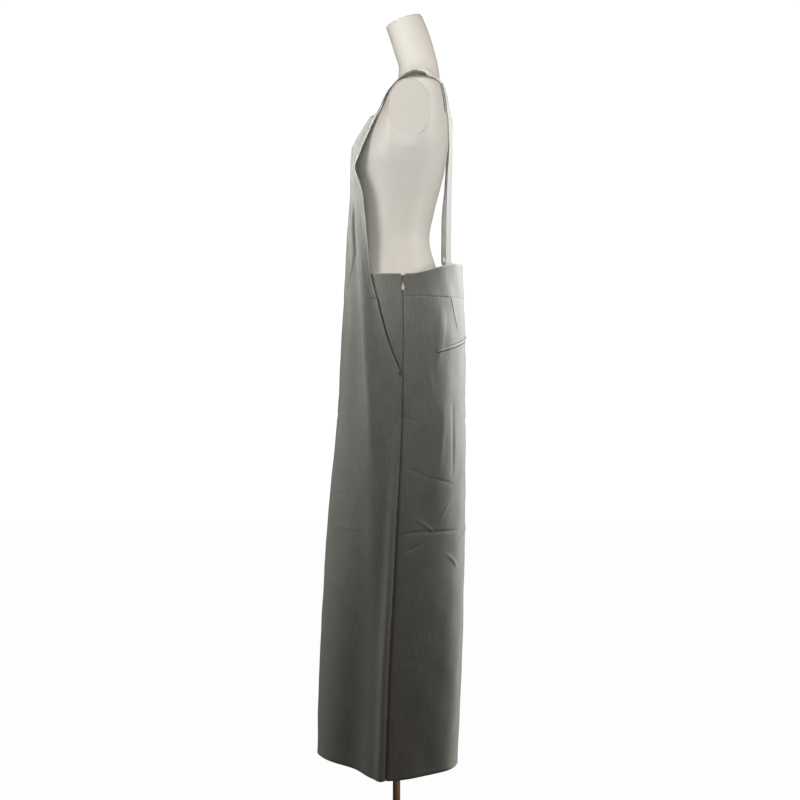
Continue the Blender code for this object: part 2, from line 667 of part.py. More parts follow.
def back_strap_grid(side, shoulder, heights):
    """From the shoulder strap's end, whose points it takes moved out, down to inside the waistband."""
    under = shoulder[-OVERLAP_ROWS - 1 :, STRAP_COLUMN_RANGE]
    run = np.gradient(shoulder, axis=0)[-OVERLAP_ROWS - 1 :, STRAP_COLUMN_RANGE]
    over = np.gradient(shoulder, axis=1)[-OVERLAP_ROWS - 1 :, STRAP_COLUMN_RANGE]
    normal = np.cross(over, run) * side
    normal /= np.linalg.norm(normal, axis=2, keepdims=True)
    top = under + normal * (CLOTH / 2 + SEAM_GAP + STRAP_THICKNESS / 2)
    shares = np.linspace(-0.5, 0.5, top.shape[1])
    rows = []
    for z in heights:
        middle, across, _ = strap_frame(side, z)
        rows.append(middle + across * (STRAP_WIDTH * shares)[:, None])
    return np.concatenate([top, np.array(rows)])


def make_back_strap(side, shoulder, finish, home):
    heights = np.concatenate([np.linspace(1.492, 1.20, 9), np.linspace(1.187, STRAP_END_Z, 4)])
    grid = back_strap_grid(side, shoulder, heights)
    return cloth_object(named("back_strap", side), facing(grid, side), finish, home, STRAP_THICKNESS)


def make_button(side, finish, home):
    """A flat button on the strap's inner face, just above the waistband."""
    middle, across, out = strap_frame(side, BUTTON_Z)
    centre = middle - out * (STRAP_THICKNESS / 2 + SEAM_GAP + BUTTON_THICKNESS / 2)
    turn = Vector((0, 0, 1)).rotation_difference(Vector(out)).to_matrix().to_4x4()
    place = Matrix.Translation(Vector(centre)) @ turn
    return make_cylinder(
        named("strap_button", side), 24, BUTTON_RADIUS, BUTTON_THICKNESS, place, 0.0006, finish, home
    )


def on_panel(grid, from_seam, z, distance):
    """The point of a panel's middle surface at a height and a distance from the side seam."""
    level = grid[:, :, 2].mean(1)
    i = int(np.clip(np.searchsorted(level, z) - 1, 0, len(level) - 2))
    share = (z - level[i]) / (level[i + 1] - level[i])
    order = np.argsort(from_seam[i])
    low, high = (
        np.array([np.interp(distance, from_seam[k][order], grid[k][order][:, axis]) for axis in range(3)])
        for k in (i, i + 1)
    )
    return low + (high - low) * share


def make_welt(side, grid, from_seam, finish, home):
    """The pocket's welt: the back panel's own points, moved out."""
    shares = np.linspace(0, 1, 9)
    rows = []
    for offset in (-0.5, 0.0, 0.5):
        distances = WELT_FROM_SEAM[0] + (WELT_FROM_SEAM[1] - WELT_FROM_SEAM[0]) * shares
        heights = WELT_Z[0] + (WELT_Z[1] - WELT_Z[0]) * shares + offset * WELT_HEIGHT
        rows.append([on_panel(grid, from_seam, z, d) for z, d in zip(heights, distances)])
    welt = np.array(rows)
    welt = welt + outward(welt, side) * (CLOTH / 2 + WELT_GAP + WELT_THICKNESS / 2)
    return cloth_object(named("back_welt", side), facing(welt, side), finish, home, WELT_THICKNESS)


def make_zip_tape(finish, home):
    """The tape behind the zip's two edges, in the wearer's left side seam."""
    rows = []
    away = BAND_THICKNESS / 2 + SEAM_GAP + TAPE_THICKNESS / 2 + 0.0008
    for z in np.linspace(ZIP_END_Z, WAIST_SIDE_Z - 0.004, 8):
        front, back = section("front", 1, z)[1], section("back", 1, z)[1]
        line = np.concatenate([front, back[::-1]])
        middle = lengths(front)[-1]
        where = middle + np.linspace(-TAPE_HALF_WIDTH, TAPE_HALF_WIDTH, 5)
        row = np.column_stack([at_length(line, where), np.full(5, z)])
        rows.append(row - outward(row[None], 1)[0] * away)
    return cloth_object("zip_tape", np.array(rows), finish, home, TAPE_THICKNESS)


def zip_place():
    """The hinge of the pull on the slider, leaning as the side of the hip does there."""
    spread = ring(SLIDER_Z - 0.02, "side_x") - ring(SLIDER_Z, "side_x")
    lean = math.atan2(spread, 0.02)
    out = ring(SLIDER_Z, "side_x") + (BAND_THICKNESS / 2 + PULL_OUT) * math.cos(lean)
    hinge = Vector((out, ring(SLIDER_Z, "side_y"), SLIDER_Z))
    return hinge, Matrix.Rotation(-lean, 4, "Y")


def make_slider(finish, home):
    """A small bracket, U-shaped from above, that holds the pull between its lugs."""
    hinge, lean = zip_place()
    half, tip = SLIDER_WIDTH / 2, LUG_REACH
    foot = -PULL_OUT + 3 * SEAM_GAP
    web = -0.0012
    inside = half - LUG_THICKNESS
    outline = [
        (foot, -half), (tip, -half), (tip, -inside), (web, -inside),
        (web, inside), (tip, inside), (tip, half), (foot, half),
    ]
    shape = bmesh.new()
    low = [shape.verts.new((x, y, -SLIDER_HEIGHT / 2)) for x, y in outline]
    base = shape.faces.new(low)
    grown = bmesh.ops.extrude_face_region(shape, geom=[base])
    top = [item for item in grown["geom"] if isinstance(item, bmesh.types.BMVert)]
    bmesh.ops.translate(shape, verts=top, vec=(0, 0, SLIDER_HEIGHT))
    bmesh.ops.recalc_face_normals(shape, faces=shape.faces)
    mesh = bpy.data.meshes.new("zip_slider")
    shape.to_mesh(mesh)
    shape.free()
    mesh.transform(Matrix.Translation(hinge) @ lean)
    made = add_object("zip_slider", mesh, finish, home)
    edge = made.modifiers.new("soft_edge", "BEVEL")
    edge.width = 0.0002
    edge.segments = 1
    return made


def make_pull(finish, home):
    """A teardrop tab that hangs from the slider. Its origin is on the hinge."""
    corner = np.array([(-1, -0.6), (-0.7, -1), (0.7, -1), (1, -0.6), (1, 0.6), (0.7, 1), (-0.7, 1), (-1, 0.6)])
    rows = [
        np.column_stack([corner[:, 1] * half_x, corner[:, 0] * half_y, np.full(8, z)])
        for z, half_y, half_x in PULL[::-1]
    ]
    mesh = mesh_from_grid("zip_pull", np.array(rows)[:, ::-1], closed=True, capped=True)
    hinge, lean = zip_place()
    mesh.transform(lean)
    made = add_object("zip_pull", mesh, finish, home)
    made.location = hinge
    return made


def main():
    clear_scene()
    home = collection_named("overalls_on_form")
    cloth = material("suiting", SUITING)
    skin = material("form_skin", FORM_SKIN)
    metal = material("zip_metal", ZIP_METAL)
    form = make_form(skin, home)
    tree = BVHTree.FromObject(form, bpy.context.evaluated_depsgraph_get())
    make_stand(material("bronzed_steel", BRONZED_STEEL), home)
    horn = material("horn_button", HORN)
    for side in (1, -1):
        make_arm_plate(side, skin, home)
        front = make_front(side, tree, cloth, home)
        back, from_seam = make_back(side, cloth, home)
        make_side_front(side, cloth, home)
        make_back_strap(side, front, cloth, home)
        make_button(side, horn, home)
        make_welt(side, back, from_seam, cloth, home)
    make_waistband(cloth, home)
    make_zip_tape(material("zip_tape", ZIP_TAPE), home)
    make_slider(metal, home)
    make_pull(metal, home)


main()
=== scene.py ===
# %% [markdown]
# # Wide-leg overalls on a dress form
#
# These overalls are sewn from a smooth grey suiting. Two fronts run in one piece from the hem over the
# shoulder, two back legs and a raised waistband close the seat, and two straps hold the back up. A packed
# model of plain solids already fixes every size. This lesson lays a finer surface over each solid, adds the
# sewing, and gives each piece the finish of the real one.
#
# The cloth could be draped by simulation or sculpted. It is worked out with numpy instead, because a garment
# that hangs is a stack of sections that change slowly with height, and because every row of a table can then
# be corrected by itself.

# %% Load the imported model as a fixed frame
import json
import math

import bpy
import numpy as np
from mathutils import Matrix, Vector

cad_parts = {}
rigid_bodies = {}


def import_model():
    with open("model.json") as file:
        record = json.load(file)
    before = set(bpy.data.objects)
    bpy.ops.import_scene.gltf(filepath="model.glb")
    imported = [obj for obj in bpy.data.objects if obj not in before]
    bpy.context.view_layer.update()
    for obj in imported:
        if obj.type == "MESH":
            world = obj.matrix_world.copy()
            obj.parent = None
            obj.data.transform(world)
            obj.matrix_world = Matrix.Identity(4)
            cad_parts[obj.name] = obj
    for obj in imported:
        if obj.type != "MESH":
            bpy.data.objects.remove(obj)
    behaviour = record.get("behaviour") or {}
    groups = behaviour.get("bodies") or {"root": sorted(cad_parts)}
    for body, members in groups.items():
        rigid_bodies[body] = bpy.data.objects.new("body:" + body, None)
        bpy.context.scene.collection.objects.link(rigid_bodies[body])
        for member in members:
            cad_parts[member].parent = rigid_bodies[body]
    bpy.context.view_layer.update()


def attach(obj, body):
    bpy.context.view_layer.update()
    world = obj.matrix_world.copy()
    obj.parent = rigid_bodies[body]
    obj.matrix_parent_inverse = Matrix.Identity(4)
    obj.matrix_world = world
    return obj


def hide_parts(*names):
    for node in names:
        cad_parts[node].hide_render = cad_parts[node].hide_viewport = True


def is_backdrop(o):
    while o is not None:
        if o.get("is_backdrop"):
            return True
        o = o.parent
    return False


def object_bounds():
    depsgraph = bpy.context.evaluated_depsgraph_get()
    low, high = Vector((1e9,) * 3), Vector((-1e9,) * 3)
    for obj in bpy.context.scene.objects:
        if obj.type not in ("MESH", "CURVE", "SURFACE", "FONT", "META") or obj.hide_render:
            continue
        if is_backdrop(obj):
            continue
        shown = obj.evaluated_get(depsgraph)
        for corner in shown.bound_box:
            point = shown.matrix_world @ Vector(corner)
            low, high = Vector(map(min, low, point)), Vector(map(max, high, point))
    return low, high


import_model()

GARMENT = "overalls_on_form"  # the body that all but the zip's pull belongs to
SIDES = ((1, "left"), (-1, "right"))  # the wearer's, as the sign of x and as a name

# %% [markdown]
# ## The camera
#
# The photograph is a level view of the wearer's left side from a few metres away. A long lens from that far
# keeps both legs nearly parallel, as in the photograph. The camera looks along -X, so its own X axis is +Y.

# %% Camera
CAMERA_AWAY, CAMERA_Y, CAMERA_Z = 3.6, 0.0075, 0.903
LENS, FILM = 75.33, 36.0  # focal length and film width, in millimetres
camera_data = bpy.data.cameras.new("side_view")
camera_data.lens = LENS
camera_data.sensor_width = FILM
camera = bpy.data.objects.new("side_view", camera_data)
camera.location = (CAMERA_AWAY, CAMERA_Y, CAMERA_Z)
camera.rotation_euler = (math.pi / 2, 0.0, math.pi / 2)
bpy.context.scene.collection.objects.link(camera)
bpy.context.scene.camera = camera
print("the camera shows", round(CAMERA_AWAY * FILM / LENS, 2), "m at the form's middle")

# %% [markdown]
# ## Sizes of the garment
#
# A tube of cloth is known once its front, back and side are known at some heights. Each row below is one
# level ring: how far the crease lines lie to the front and back, where the side seam is, and how round the
# corner between them is. The same rows made the plain solids, so the fine surface lies on them.

# %% Ring table and interpolation
CLOTH = 0.0011  # wall of the suiting, a single layer
TURNED = 0.0022  # the same where an edge is turned in and pressed
SEAM_GAP = 0.0003  # between two pieces that are sewn together
SIDE_SEAM_GAP = 0.0010  # the side seams bend round a corner, so their walls need more room
HEM_Z, CROTCH_Z = 0.137, 0.845
BAND_SEAM_Z, WAIST_SIDE_Z, WAIST_BACK_Z = 1.117, 1.164, 1.191
POCKET_END_Z, V_POINT_Z, BIB_TOP_Z = 0.942, 1.425, 1.500
RISE = {"front": 0.130, "back": 0.165}  # height of the curved part of the crotch seam
WAY = {"front": -1, "back": 1}

RING_COLUMNS = (
    "z", "front", "back", "side_x", "side_y", "front_flat", "front_power", "back_flat", "back_power"
)
RINGS = [
    (0.137, -0.1645, 0.1255, 0.234, -0.021, 0.46, 1.75, 0.50, 1.80),
    (0.200, -0.1640, 0.1288, 0.232, -0.019, 0.46, 1.75, 0.50, 1.80),
    (0.370, -0.1590, 0.1361, 0.229, -0.013, 0.46, 1.80, 0.50, 1.85),
    (0.500, -0.1523, 0.1396, 0.226, -0.006, 0.46, 1.85, 0.50, 1.95),
    (0.660, -0.1425, 0.1435, 0.222, 0.002, 0.45, 1.95, 0.48, 2.05),
    (0.780, -0.1322, 0.1447, 0.217, 0.009, 0.43, 2.05, 0.46, 2.15),
    (0.900, -0.1220, 0.1451, 0.209, 0.0135, 0.36, 2.15, 0.38, 2.25),
    (1.030, -0.1160, 0.1455, 0.190, 0.0135, 0.30, 2.20, 0.30, 2.30),
    (1.100, -0.1120, 0.1430, 0.169, 0.0135, 0.28, 2.20, 0.20, 2.15),
    (1.164, -0.1092, 0.1405, 0.149, 0.0135, 0.28, 2.20, 0.10, 2.00),
    (1.250, -0.1050, 0.1350, 0.146, 0.006, 0.30, 2.20, 0.10, 2.00),
    (1.330, -0.0980, 0.1250, 0.146, 0.000, 0.45, 2.20, 0.10, 2.00),
    (1.400, -0.0957, 0.1150, 0.150, -0.012, 0.60, 2.20, 0.10, 2.00),
    (1.430, -0.0945, 0.1100, 0.148, 0.010, 0.50, 2.20, 0.10, 2.00),
    (1.450, -0.0868, 0.1100, 0.144, 0.018, 0.42, 2.20, 0.10, 2.00),
    (1.500, -0.0580, 0.1100, 0.137, 0.030, 0.33, 2.20, 0.10, 2.00),
]

# Free edge of the front panel: armhole above the waist, pocket mouth below it.
FRONT_EDGE = [
    (0.942, 0.0132), (0.969, 0.0030), (1.004, -0.0115), (1.054, -0.0270), (1.107, -0.0400),
    (1.164, -0.0530), (1.233, -0.0600), (1.290, -0.0655), (1.332, -0.0700), (1.360, -0.0780),
    (1.385, -0.0860), (1.420, -0.0740), (1.460, -0.0575), (1.500, -0.0405),
]


def table(rows, columns):
    """A table's columns as arrays, by name."""
    return dict(zip(columns, np.array(rows, float).T))


def smooth_between(at, xs, ys):
    """Monotone cubic interpolation: each tangent is the harmonic mean of the slopes beside it, and 0 where
    the values turn round."""
    xs, ys, at = np.asarray(xs, float), np.asarray(ys, float), np.asarray(at, float)
    slope = np.diff(ys) / np.diff(xs)
    same_way = slope[:-1] * slope[1:] > 0
    harmonic = np.zeros(len(slope) - 1)
    harmonic[same_way] = 2 / (1 / slope[:-1][same_way] + 1 / slope[1:][same_way])
    tangent = np.concatenate([[slope[0]], harmonic, [slope[-1]]])
    i = np.clip(np.searchsorted(xs, at) - 1, 0, len(xs) - 2)
    h = xs[i + 1] - xs[i]
    t = np.clip((at - xs[i]) / h, 0, 1)
    return (
        (2 * t**3 - 3 * t**2 + 1) * ys[i]
        + (t**3 - 2 * t**2 + t) * h * tangent[i]
        + (3 * t**2 - 2 * t**3) * ys[i + 1]
        + (t**3 - t**2) * h * tangent[i + 1]
    )


def smoothstep(low, high, value):
    """0 below low, 1 above high, and the cubic 3t^2 - 2t^3 between them."""
    t = np.clip((value - low) / (high - low), 0, 1)
    return t * t * (3 - 2 * t)


RING = table(RINGS, RING_COLUMNS)
EDGE = table(FRONT_EDGE, ("z", "y"))


def ring(z, column):
    """A column of the ring table, read at the heights z."""
    return smooth_between(z, RING["z"], RING[column])


print("the two hems are", round(2 * float(ring(HEM_Z, "side_x")), 3), "m wide side by side")

# %% [markdown]
# ## Sections
#
# At one height a panel runs from the centre seam to its crease and from there round to the side seam. Each
# half is a quarter of a superellipse. All heights are computed at once, as arrays with one row per height.

# %% Superellipse sections for all heights at once
ARC_POINTS = 140
CROTCH_TO_RIGHT, CENTRED_Z = 0.025, 1.10  # the crotch hangs to the wearer's right, up to this height
INNER_SEAM_Y = (-0.018, 0.004)  # where front and back meet between the legs, at the hem and at the crotch
LEG_PART = 0.0055  # how far each leg's hem keeps from the middle
CROTCH_CURVE = 2.6  # power of the curve in which the crotch seam rises
FRONT_HANG, BACK_HANG, HANG_TOP_Z = 0.028, 0.010, 0.80


def quarter(start, end, power, along_x):
    """A quarter superellipse from start to end: one axis moves by sin(a)^(2/p) and the other by
    1-cos(a)^(2/p), while a runs from 0 to 90 degrees."""
    angle = np.linspace(0, math.pi / 2, ARC_POINTS)[None]
    out = np.sin(angle) ** (2 / power[:, None])
    back = 1 - np.cos(angle) ** (2 / power[:, None])
    share = np.stack([out, back] if along_x else [back, out], 2)
    return start[:, None] + (end - start)[:, None] * share


def centre_x(z):
    """The centre seam is on the middle above the hips and lies to the wearer's right at the crotch."""
    return -CROTCH_TO_RIGHT * (1 - smoothstep(CROTCH_Z, CENTRED_Z, z))


def section(panel, side, z):
    """Inner and outer halves of the section at every height in z, each (heights, points, 2)."""
    way, rise = WAY[panel], RISE[panel]
    outer_y, middle, half = ring(z, panel), centre_x(z), ring(z, "side_x")
    low_y = np.interp(z, [HEM_Z, CROTCH_Z], INNER_SEAM_Y) + way * SEAM_GAP / 2
    up = np.clip((z - CROTCH_Z) / rise, 0, 1)
    seam_y = low_y + (outer_y - low_y) * (1 - (1 - up) ** CROTCH_CURVE)
    facing_walls = 1 - smoothstep(CROTCH_Z + 0.5 * rise, CROTCH_Z + rise, z)
    gap = SEAM_GAP / 2 + facing_walls * CLOTH + np.interp(z, [HEM_Z, CROTCH_Z], [LEG_PART, 0.0])
    inner = np.stack([middle + side * gap, seam_y], 1)
    crease = np.stack([middle + (side * half - middle) * ring(z, panel + "_flat"), outer_y], 1)
    seam = np.stack([side * half, ring(z, "side_y") + way * SIDE_SEAM_GAP / 2], 1)
    first = quarter(inner, crease, np.full(len(z), 2.0), False)
    return first, quarter(crease, seam, ring(z, panel + "_power"), True)


def travelled(lines):
    """Distance along each line at its points: the running sum of its steps."""
    steps = np.linalg.norm(np.diff(lines, axis=1), axis=2)
    return np.concatenate([np.zeros((len(lines), 1)), np.cumsum(steps, axis=1)], axis=1)


def at_distance(lines, where, values=None):
    """The point of each line at each distance along it, on the straight between its points. Where values are
    given, it is their value at that place."""
    travel = travelled(lines)
    i = (travel[:, None, :] <= where[:, :, None]).sum(2) - 1
    i = np.clip(i, 0, lines.shape[1] - 2)
    low = np.take_along_axis(travel, i, 1)
    high = np.take_along_axis(travel, i + 1, 1)
    share = ((where - low) / np.maximum(high - low, 1e-9))[:, :, None]
    values = lines if values is None else values
    start = np.take_along_axis(values, i[:, :, None], 1)
    end = np.take_along_axis(values, i[:, :, None] + 1, 1)
    return start + (end - start) * share


def distance_where(lines, values, goal):
    """How far along each line a value that only grows along it reaches its goal."""
    travel = travelled(lines)
    i = np.clip((values <= goal[:, None]).sum(1) - 1, 0, lines.shape[1] - 2)[:, None]
    low, high = np.take_along_axis(values, i, 1), np.take_along_axis(values, i + 1, 1)
    share = np.clip((goal[:, None] - low) / np.maximum(high - low, 1e-9), 0, 1)
    start, end = np.take_along_axis(travel, i, 1), np.take_along_axis(travel, i + 1, 1)
    return (start + (end - start) * share)[:, 0]


def edge_distance(outer, z):
    """How far along the front's outer half its free edge lies."""
    return distance_where(outer, outer[:, :, 1], smooth_between(z, EDGE["z"], EDGE["y"]))


def hung(y, z):
    """Heights of the points: the hem hangs higher at the creases than at the side, and this lift dies out
    upwards."""
    front, back, side_y = (ring(z, c)[:, None] for c in ("front", "back", "side_y"))
    lift = FRONT_HANG * smoothstep(0, 1, (side_y - y) / (side_y - front))
    lift = lift + BACK_HANG * smoothstep(0, 1, (y - side_y) / (back - side_y))
    return z[:, None] + lift * np.clip((HANG_TOP_Z - z) / (HANG_TOP_Z - HEM_Z), 0, 1)[:, None]


print("a section has", 2 * ARC_POINTS, "points")

# %% [markdown]
# ## Folds and creases
#
# Suiting of this weight falls in long soft folds and breaks into a few short creases behind the knee and
# below the pocket. A long fold is a ridge that follows the side seam. A crease is a short line on the cloth,
# given by its two ends as distance from the side seam and height, with a soft trough or ridge across it and
# a step that raises one side and lowers the other, as a real crease does.

# %% Fold and crease tables
# In both tables, at and s are distances from the side seam, and lift is outwards. A crease's step raises the
# upper or outer side of its line and lowers the other.
FOLD_COLUMNS = ("panel", "side", "low_z", "high_z", "low_at", "high_at", "width", "lift", "fade")
FOLDS = [
    ("front", 1, 0.10, 0.96, 0.011, 0.008, 0.010, 0.0115, 0.45),
    ("front", 1, 0.10, 0.74, 0.078, 0.056, 0.042, -0.0200, 0.60),
    ("front", 1, 0.74, 1.30, 0.053, 0.093, 0.0130, 0.0128, 0.20),
    ("front", 1, 0.40, 0.98, 0.029, 0.070, 0.0220, 0.0055, 0.20),
    ("front", 1, 0.66, 1.30, 0.104, 0.112, 0.018, -0.0030, 0.22),
    ("front", 1, 0.98, 1.36, 0.124, 0.108, 0.012, 0.0035, 0.12),
    ("back", 1, 0.10, 0.66, 0.140, 0.130, 0.050, 0.0075, 0.30),
    ("back", 1, 0.56, 1.112, 0.094, 0.084, 0.036, 0.0042, 0.20),
    ("back", 1, 0.95, 1.11, 0.066, 0.084, 0.008, 0.0019, 0.05),
    ("front", -1, 0.10, 0.88, 0.015, 0.010, 0.013, 0.0120, 0.55),
    ("front", -1, 0.10, 0.70, 0.080, 0.060, 0.044, -0.0180, 0.55),
    ("front", -1, 0.74, 1.22, 0.080, 0.088, 0.019, 0.0050, 0.20),
    ("front", -1, 0.66, 1.26, 0.116, 0.120, 0.020, -0.0028, 0.24),
    ("back", -1, 0.10, 0.58, 0.066, 0.056, 0.046, 0.0085, 0.40),
    ("back", -1, 0.42, 1.110, 0.098, 0.094, 0.030, 0.0050, 0.15),
    ("back", -1, 0.60, 1.02, 0.126, 0.136, 0.014, 0.0022, 0.18),
]

CREASE_COLUMNS = ("panel", "side", "from_s", "from_z", "to_s", "to_z", "bow", "width", "lift", "step")
CREASES = [
    ("back", 1, -0.004, 0.870, 0.029, 0.859, 0.001, 0.0026, -0.0014, 0.0005),
    ("back", 1, 0.013, 0.765, 0.052, 0.747, 0.002, 0.0028, -0.0008, 0.0003),
    ("back", 1, 0.044, 0.750, 0.128, 0.730, 0.001, 0.0034, -0.0006, 0.0006),
    ("back", 1, 0.086, 0.648, 0.122, 0.704, 0.003, 0.0032, 0.0011, 0.0006),
    ("back", 1, 0.035, 0.662, 0.076, 0.632, 0.002, 0.0028, 0.0016, 0.0009),
    ("back", 1, -0.004, 0.629, 0.084, 0.637, 0.003, 0.0028, -0.0013, 0.0005),
    ("back", 1, 0.060, 0.634, 0.150, 0.636, 0.002, 0.0030, -0.0009, 0.0007),
    ("back", 1, 0.018, 0.596, 0.055, 0.614, -0.002, 0.0028, -0.0012, -0.0005),
    ("back", 1, 0.108, 0.588, 0.146, 0.556, 0.004, 0.0040, 0.0010, 0.0006),
    ("back", 1, 0.020, 0.379, 0.074, 0.372, 0.002, 0.0036, -0.0007, 0.0009),
    ("back", 1, 0.086, 0.900, 0.080, 0.745, 0.003, 0.0060, 0.0010, 0.0004),
    ("back", 1, 0.090, 1.090, 0.076, 0.985, 0.004, 0.0060, 0.0012, 0.0004),
    ("back", 1, 0.058, 1.000, 0.050, 0.930, 0.003, 0.0050, 0.0008, 0.0004),
    ("back", 1, 0.112, 0.905, 0.118, 0.740, 0.002, 0.0051, -0.0013, 0.0008),
    ("back", 1, 0.046, 0.965, 0.056, 0.905, 0.004, 0.0068, 0.0010, 0.0005),
    ("back", 1, 0.185, 0.700, 0.240, 0.655, 0.006, 0.0046, -0.0019, 0.0009),
    ("back", 1, 0.150, 0.610, 0.232, 0.640, 0.004, 0.0043, 0.0015, 0.0010),
    ("back", 1, 0.200, 0.905, 0.300, 0.880, 0.010, 0.0053, -0.0021, 0.0009),
    ("back", 1, 0.170, 0.850, 0.290, 0.862, 0.008, 0.0050, -0.0016, 0.0010),
    ("front", 1, 0.002, 0.868, 0.034, 0.840, 0.002, 0.0033, -0.0004, 0.0003),
    ("front", 1, 0.008, 0.850, 0.060, 0.780, 0.004, 0.0040, -0.0003, 0.0003),
    ("front", 1, 0.004, 0.828, 0.026, 0.742, 0.002, 0.0043, 0.0004, 0.0002),
    ("front", 1, 0.160, 0.648, 0.064, 0.640, 0.004, 0.0040, 0.0006, 0.0005),
    ("front", 1, 0.170, 0.716, 0.118, 0.712, 0.002, 0.0040, -0.0005, 0.0004),
    ("front", 1, 0.106, 1.315, 0.104, 1.190, 0.002, 0.0032, -0.0058, -0.0046),
    ("front", 1, 0.104, 1.210, 0.140, 1.135, -0.004, 0.0036, -0.0050, -0.0040),
    ("front", 1, 0.094, 1.330, 0.092, 1.190, 0.002, 0.0047, 0.0010, 0.0005),
    ("front", 1, 0.102, 1.120, 0.072, 0.800, 0.006, 0.0085, 0.0010, 0.0003),
    ("front", 1, 0.300, 0.880, 0.200, 0.940, 0.006, 0.0053, -0.0016, 0.0007),
    ("front", 1, 0.305, 0.868, 0.190, 0.884, 0.008, 0.0053, -0.0014, 0.0007),
    ("front", 1, 0.220, 0.560, 0.160, 0.520, 0.004, 0.0053, 0.0007, 0.0005),
    ("back", -1, -0.004, 0.858, 0.034, 0.846, 0.001, 0.0026, -0.0012, 0.0005),
    ("back", -1, 0.016, 0.738, 0.068, 0.716, 0.002, 0.0033, -0.0011, 0.0007),
    ("back", -1, 0.060, 0.722, 0.135, 0.712, 0.002, 0.0036, -0.0009, 0.0011),
    ("back", -1, 0.074, 0.640, 0.112, 0.690, 0.003, 0.0033, 0.0014, 0.0009),
    ("back", -1, -0.004, 0.616, 0.094, 0.626, 0.003, 0.0033, -0.0016, 0.0007),
    ("back", -1, 0.082, 0.624, 0.160, 0.618, 0.002, 0.0034, -0.0012, 0.0010),
    ("back", -1, 0.026, 0.582, 0.060, 0.600, -0.002, 0.0029, -0.0011, -0.0005),
    ("back", -1, 0.030, 0.402, 0.092, 0.394, 0.002, 0.0036, -0.0007, 0.0009),
    ("back", -1, 0.090, 0.890, 0.082, 0.730, 0.003, 0.0055, 0.0016, 0.0008),
    ("back", -1, 0.190, 0.690, 0.244, 0.650, 0.006, 0.0046, -0.0017, 0.0009),
    ("back", -1, 0.190, 0.900, 0.280, 0.878, 0.010, 0.0053, -0.0020, 0.0009),
    ("back", -1, 0.160, 0.846, 0.270, 0.860, 0.008, 0.0050, -0.0015, 0.0010),
    ("front", -1, 0.002, 0.850, 0.036, 0.824, 0.002, 0.0033, -0.0004, 0.0003),
    ("front", -1, 0.150, 0.668, 0.070, 0.655, 0.004, 0.0040, 0.0007, 0.0005),
    ("front", -1, 0.100, 1.300, 0.108, 1.170, 0.003, 0.0034, -0.0011, -0.0010),
    ("front", -1, 0.108, 1.190, 0.140, 1.120, -0.004, 0.0037, -0.0010, -0.0008),
    ("front", -1, 0.276, 0.878, 0.180, 0.930, 0.006, 0.0053, -0.0016, 0.0007),
    ("front", -1, 0.280, 0.868, 0.170, 0.876, 0.008, 0.0053, -0.0012, 0.0007),
    ("front", -1, 0.226, 0.430, 0.150, 0.470, 0.004, 0.0053, 0.0007, 0.0005),
]


FADE_AT_SEAM = 0.007  # a fold starts this far from the side seam
END_POWER = 0.7  # a crease keeps most of its depth until close to its ends
HALF_POWER_OF_E = 1.65  # e^0.5, rounded
WAVES, WAVE_LENGTHS, WAVE_TURN, WAVE_HEIGHT = 12, (0.04, 0.14), 0.45, 0.00014


def fold_lift(panel, side, z, s):
    """Sum of Gaussian ridges across lines that run from low_at to high_at. They fade at their ends and at
    the side seam."""
    lift = np.zeros(z.shape)
    for row in FOLDS:
        fold = dict(zip(FOLD_COLUMNS, row))
        if (fold["panel"], fold["side"]) != (panel, side):
            continue
        line = np.interp(z, [fold["low_z"], fold["high_z"]], [fold["low_at"], fold["high_at"]])
        across = np.exp(-(((s - line) / fold["width"]) ** 2))
        below = smoothstep(fold["low_z"], fold["low_z"] + fold["fade"], z) if fold["low_z"] > HEM_Z else 1.0
        above = 1 - smoothstep(fold["high_z"] - fold["fade"], fold["high_z"], z)
        lift = lift + fold["lift"] * across * below * above
    return lift * smoothstep(0, FADE_AT_SEAM, s)


def crease_lift(panel, side, z, s):
    """For each crease, d is the distance from its bowed line and t the share along it. The lift is
    exp(-(d/w)^2) times lift, plus (d/w)exp(0.5-(d/w)^2) times step, and both die out at the line's ends."""
    lift = np.zeros(z.shape)
    for row in CREASES:
        crease = dict(zip(CREASE_COLUMNS, row))
        if (crease["panel"], crease["side"]) != (panel, side):
            continue
        run = np.array([crease["to_s"] - crease["from_s"], crease["to_z"] - crease["from_z"]])
        length = float(np.linalg.norm(run))
        run = run / length
        off_s, off_z = s - crease["from_s"], z - crease["from_z"]
        t = (off_s * run[0] + off_z * run[1]) / length
        d = -off_s * run[1] + off_z * run[0] - crease["bow"] * 4 * t * (1 - t)
        d = d * (1 if run[0] >= 0 else -1) / crease["width"]
        ends = np.clip(np.sin(math.pi * np.clip(t, 0, 1)), 0, 1) ** END_POWER
        bell = np.exp(-(d**2))
        lift = lift + ends * (crease["lift"] * bell + crease["step"] * d * bell * HALF_POWER_OF_E)
    return lift


def unevenness(z, s, seed):
    """Cloth is never quite smooth: a sum of twelve sine waves, 4 to 14 cm long, whose crests mostly run up
    the leg."""
    chance = np.random.default_rng(seed)
    total = np.zeros(z.shape)
    for _ in range(WAVES):
        wave = chance.uniform(*WAVE_LENGTHS)
        turn = chance.normal(0, WAVE_TURN)
        phase = chance.uniform(0, 2 * math.pi)
        total += np.sin(2 * math.pi * (s * math.cos(turn) + z * math.sin(turn)) / wave + phase)
    return total * WAVE_HEIGHT


print("folds:", len(FOLDS), "creases:", len(CREASES))

# %% [markdown]
# ## From a grid of points to a wall of cloth
#
# Each piece is a grid: rows go up, columns go round. The wall is made by moving the grid half its thickness
# to each side along its normals, and the two skins are joined by a rim with one row of points between them,
# which rounds the edge as turned cloth is round. The thickness may vary over the grid.

# %% Grid helpers
RIM_OUT = 0.8  # how far the rim stands out, in half walls
LEAST_CUT = 0.010  # no strip of cloth is cut narrower than this


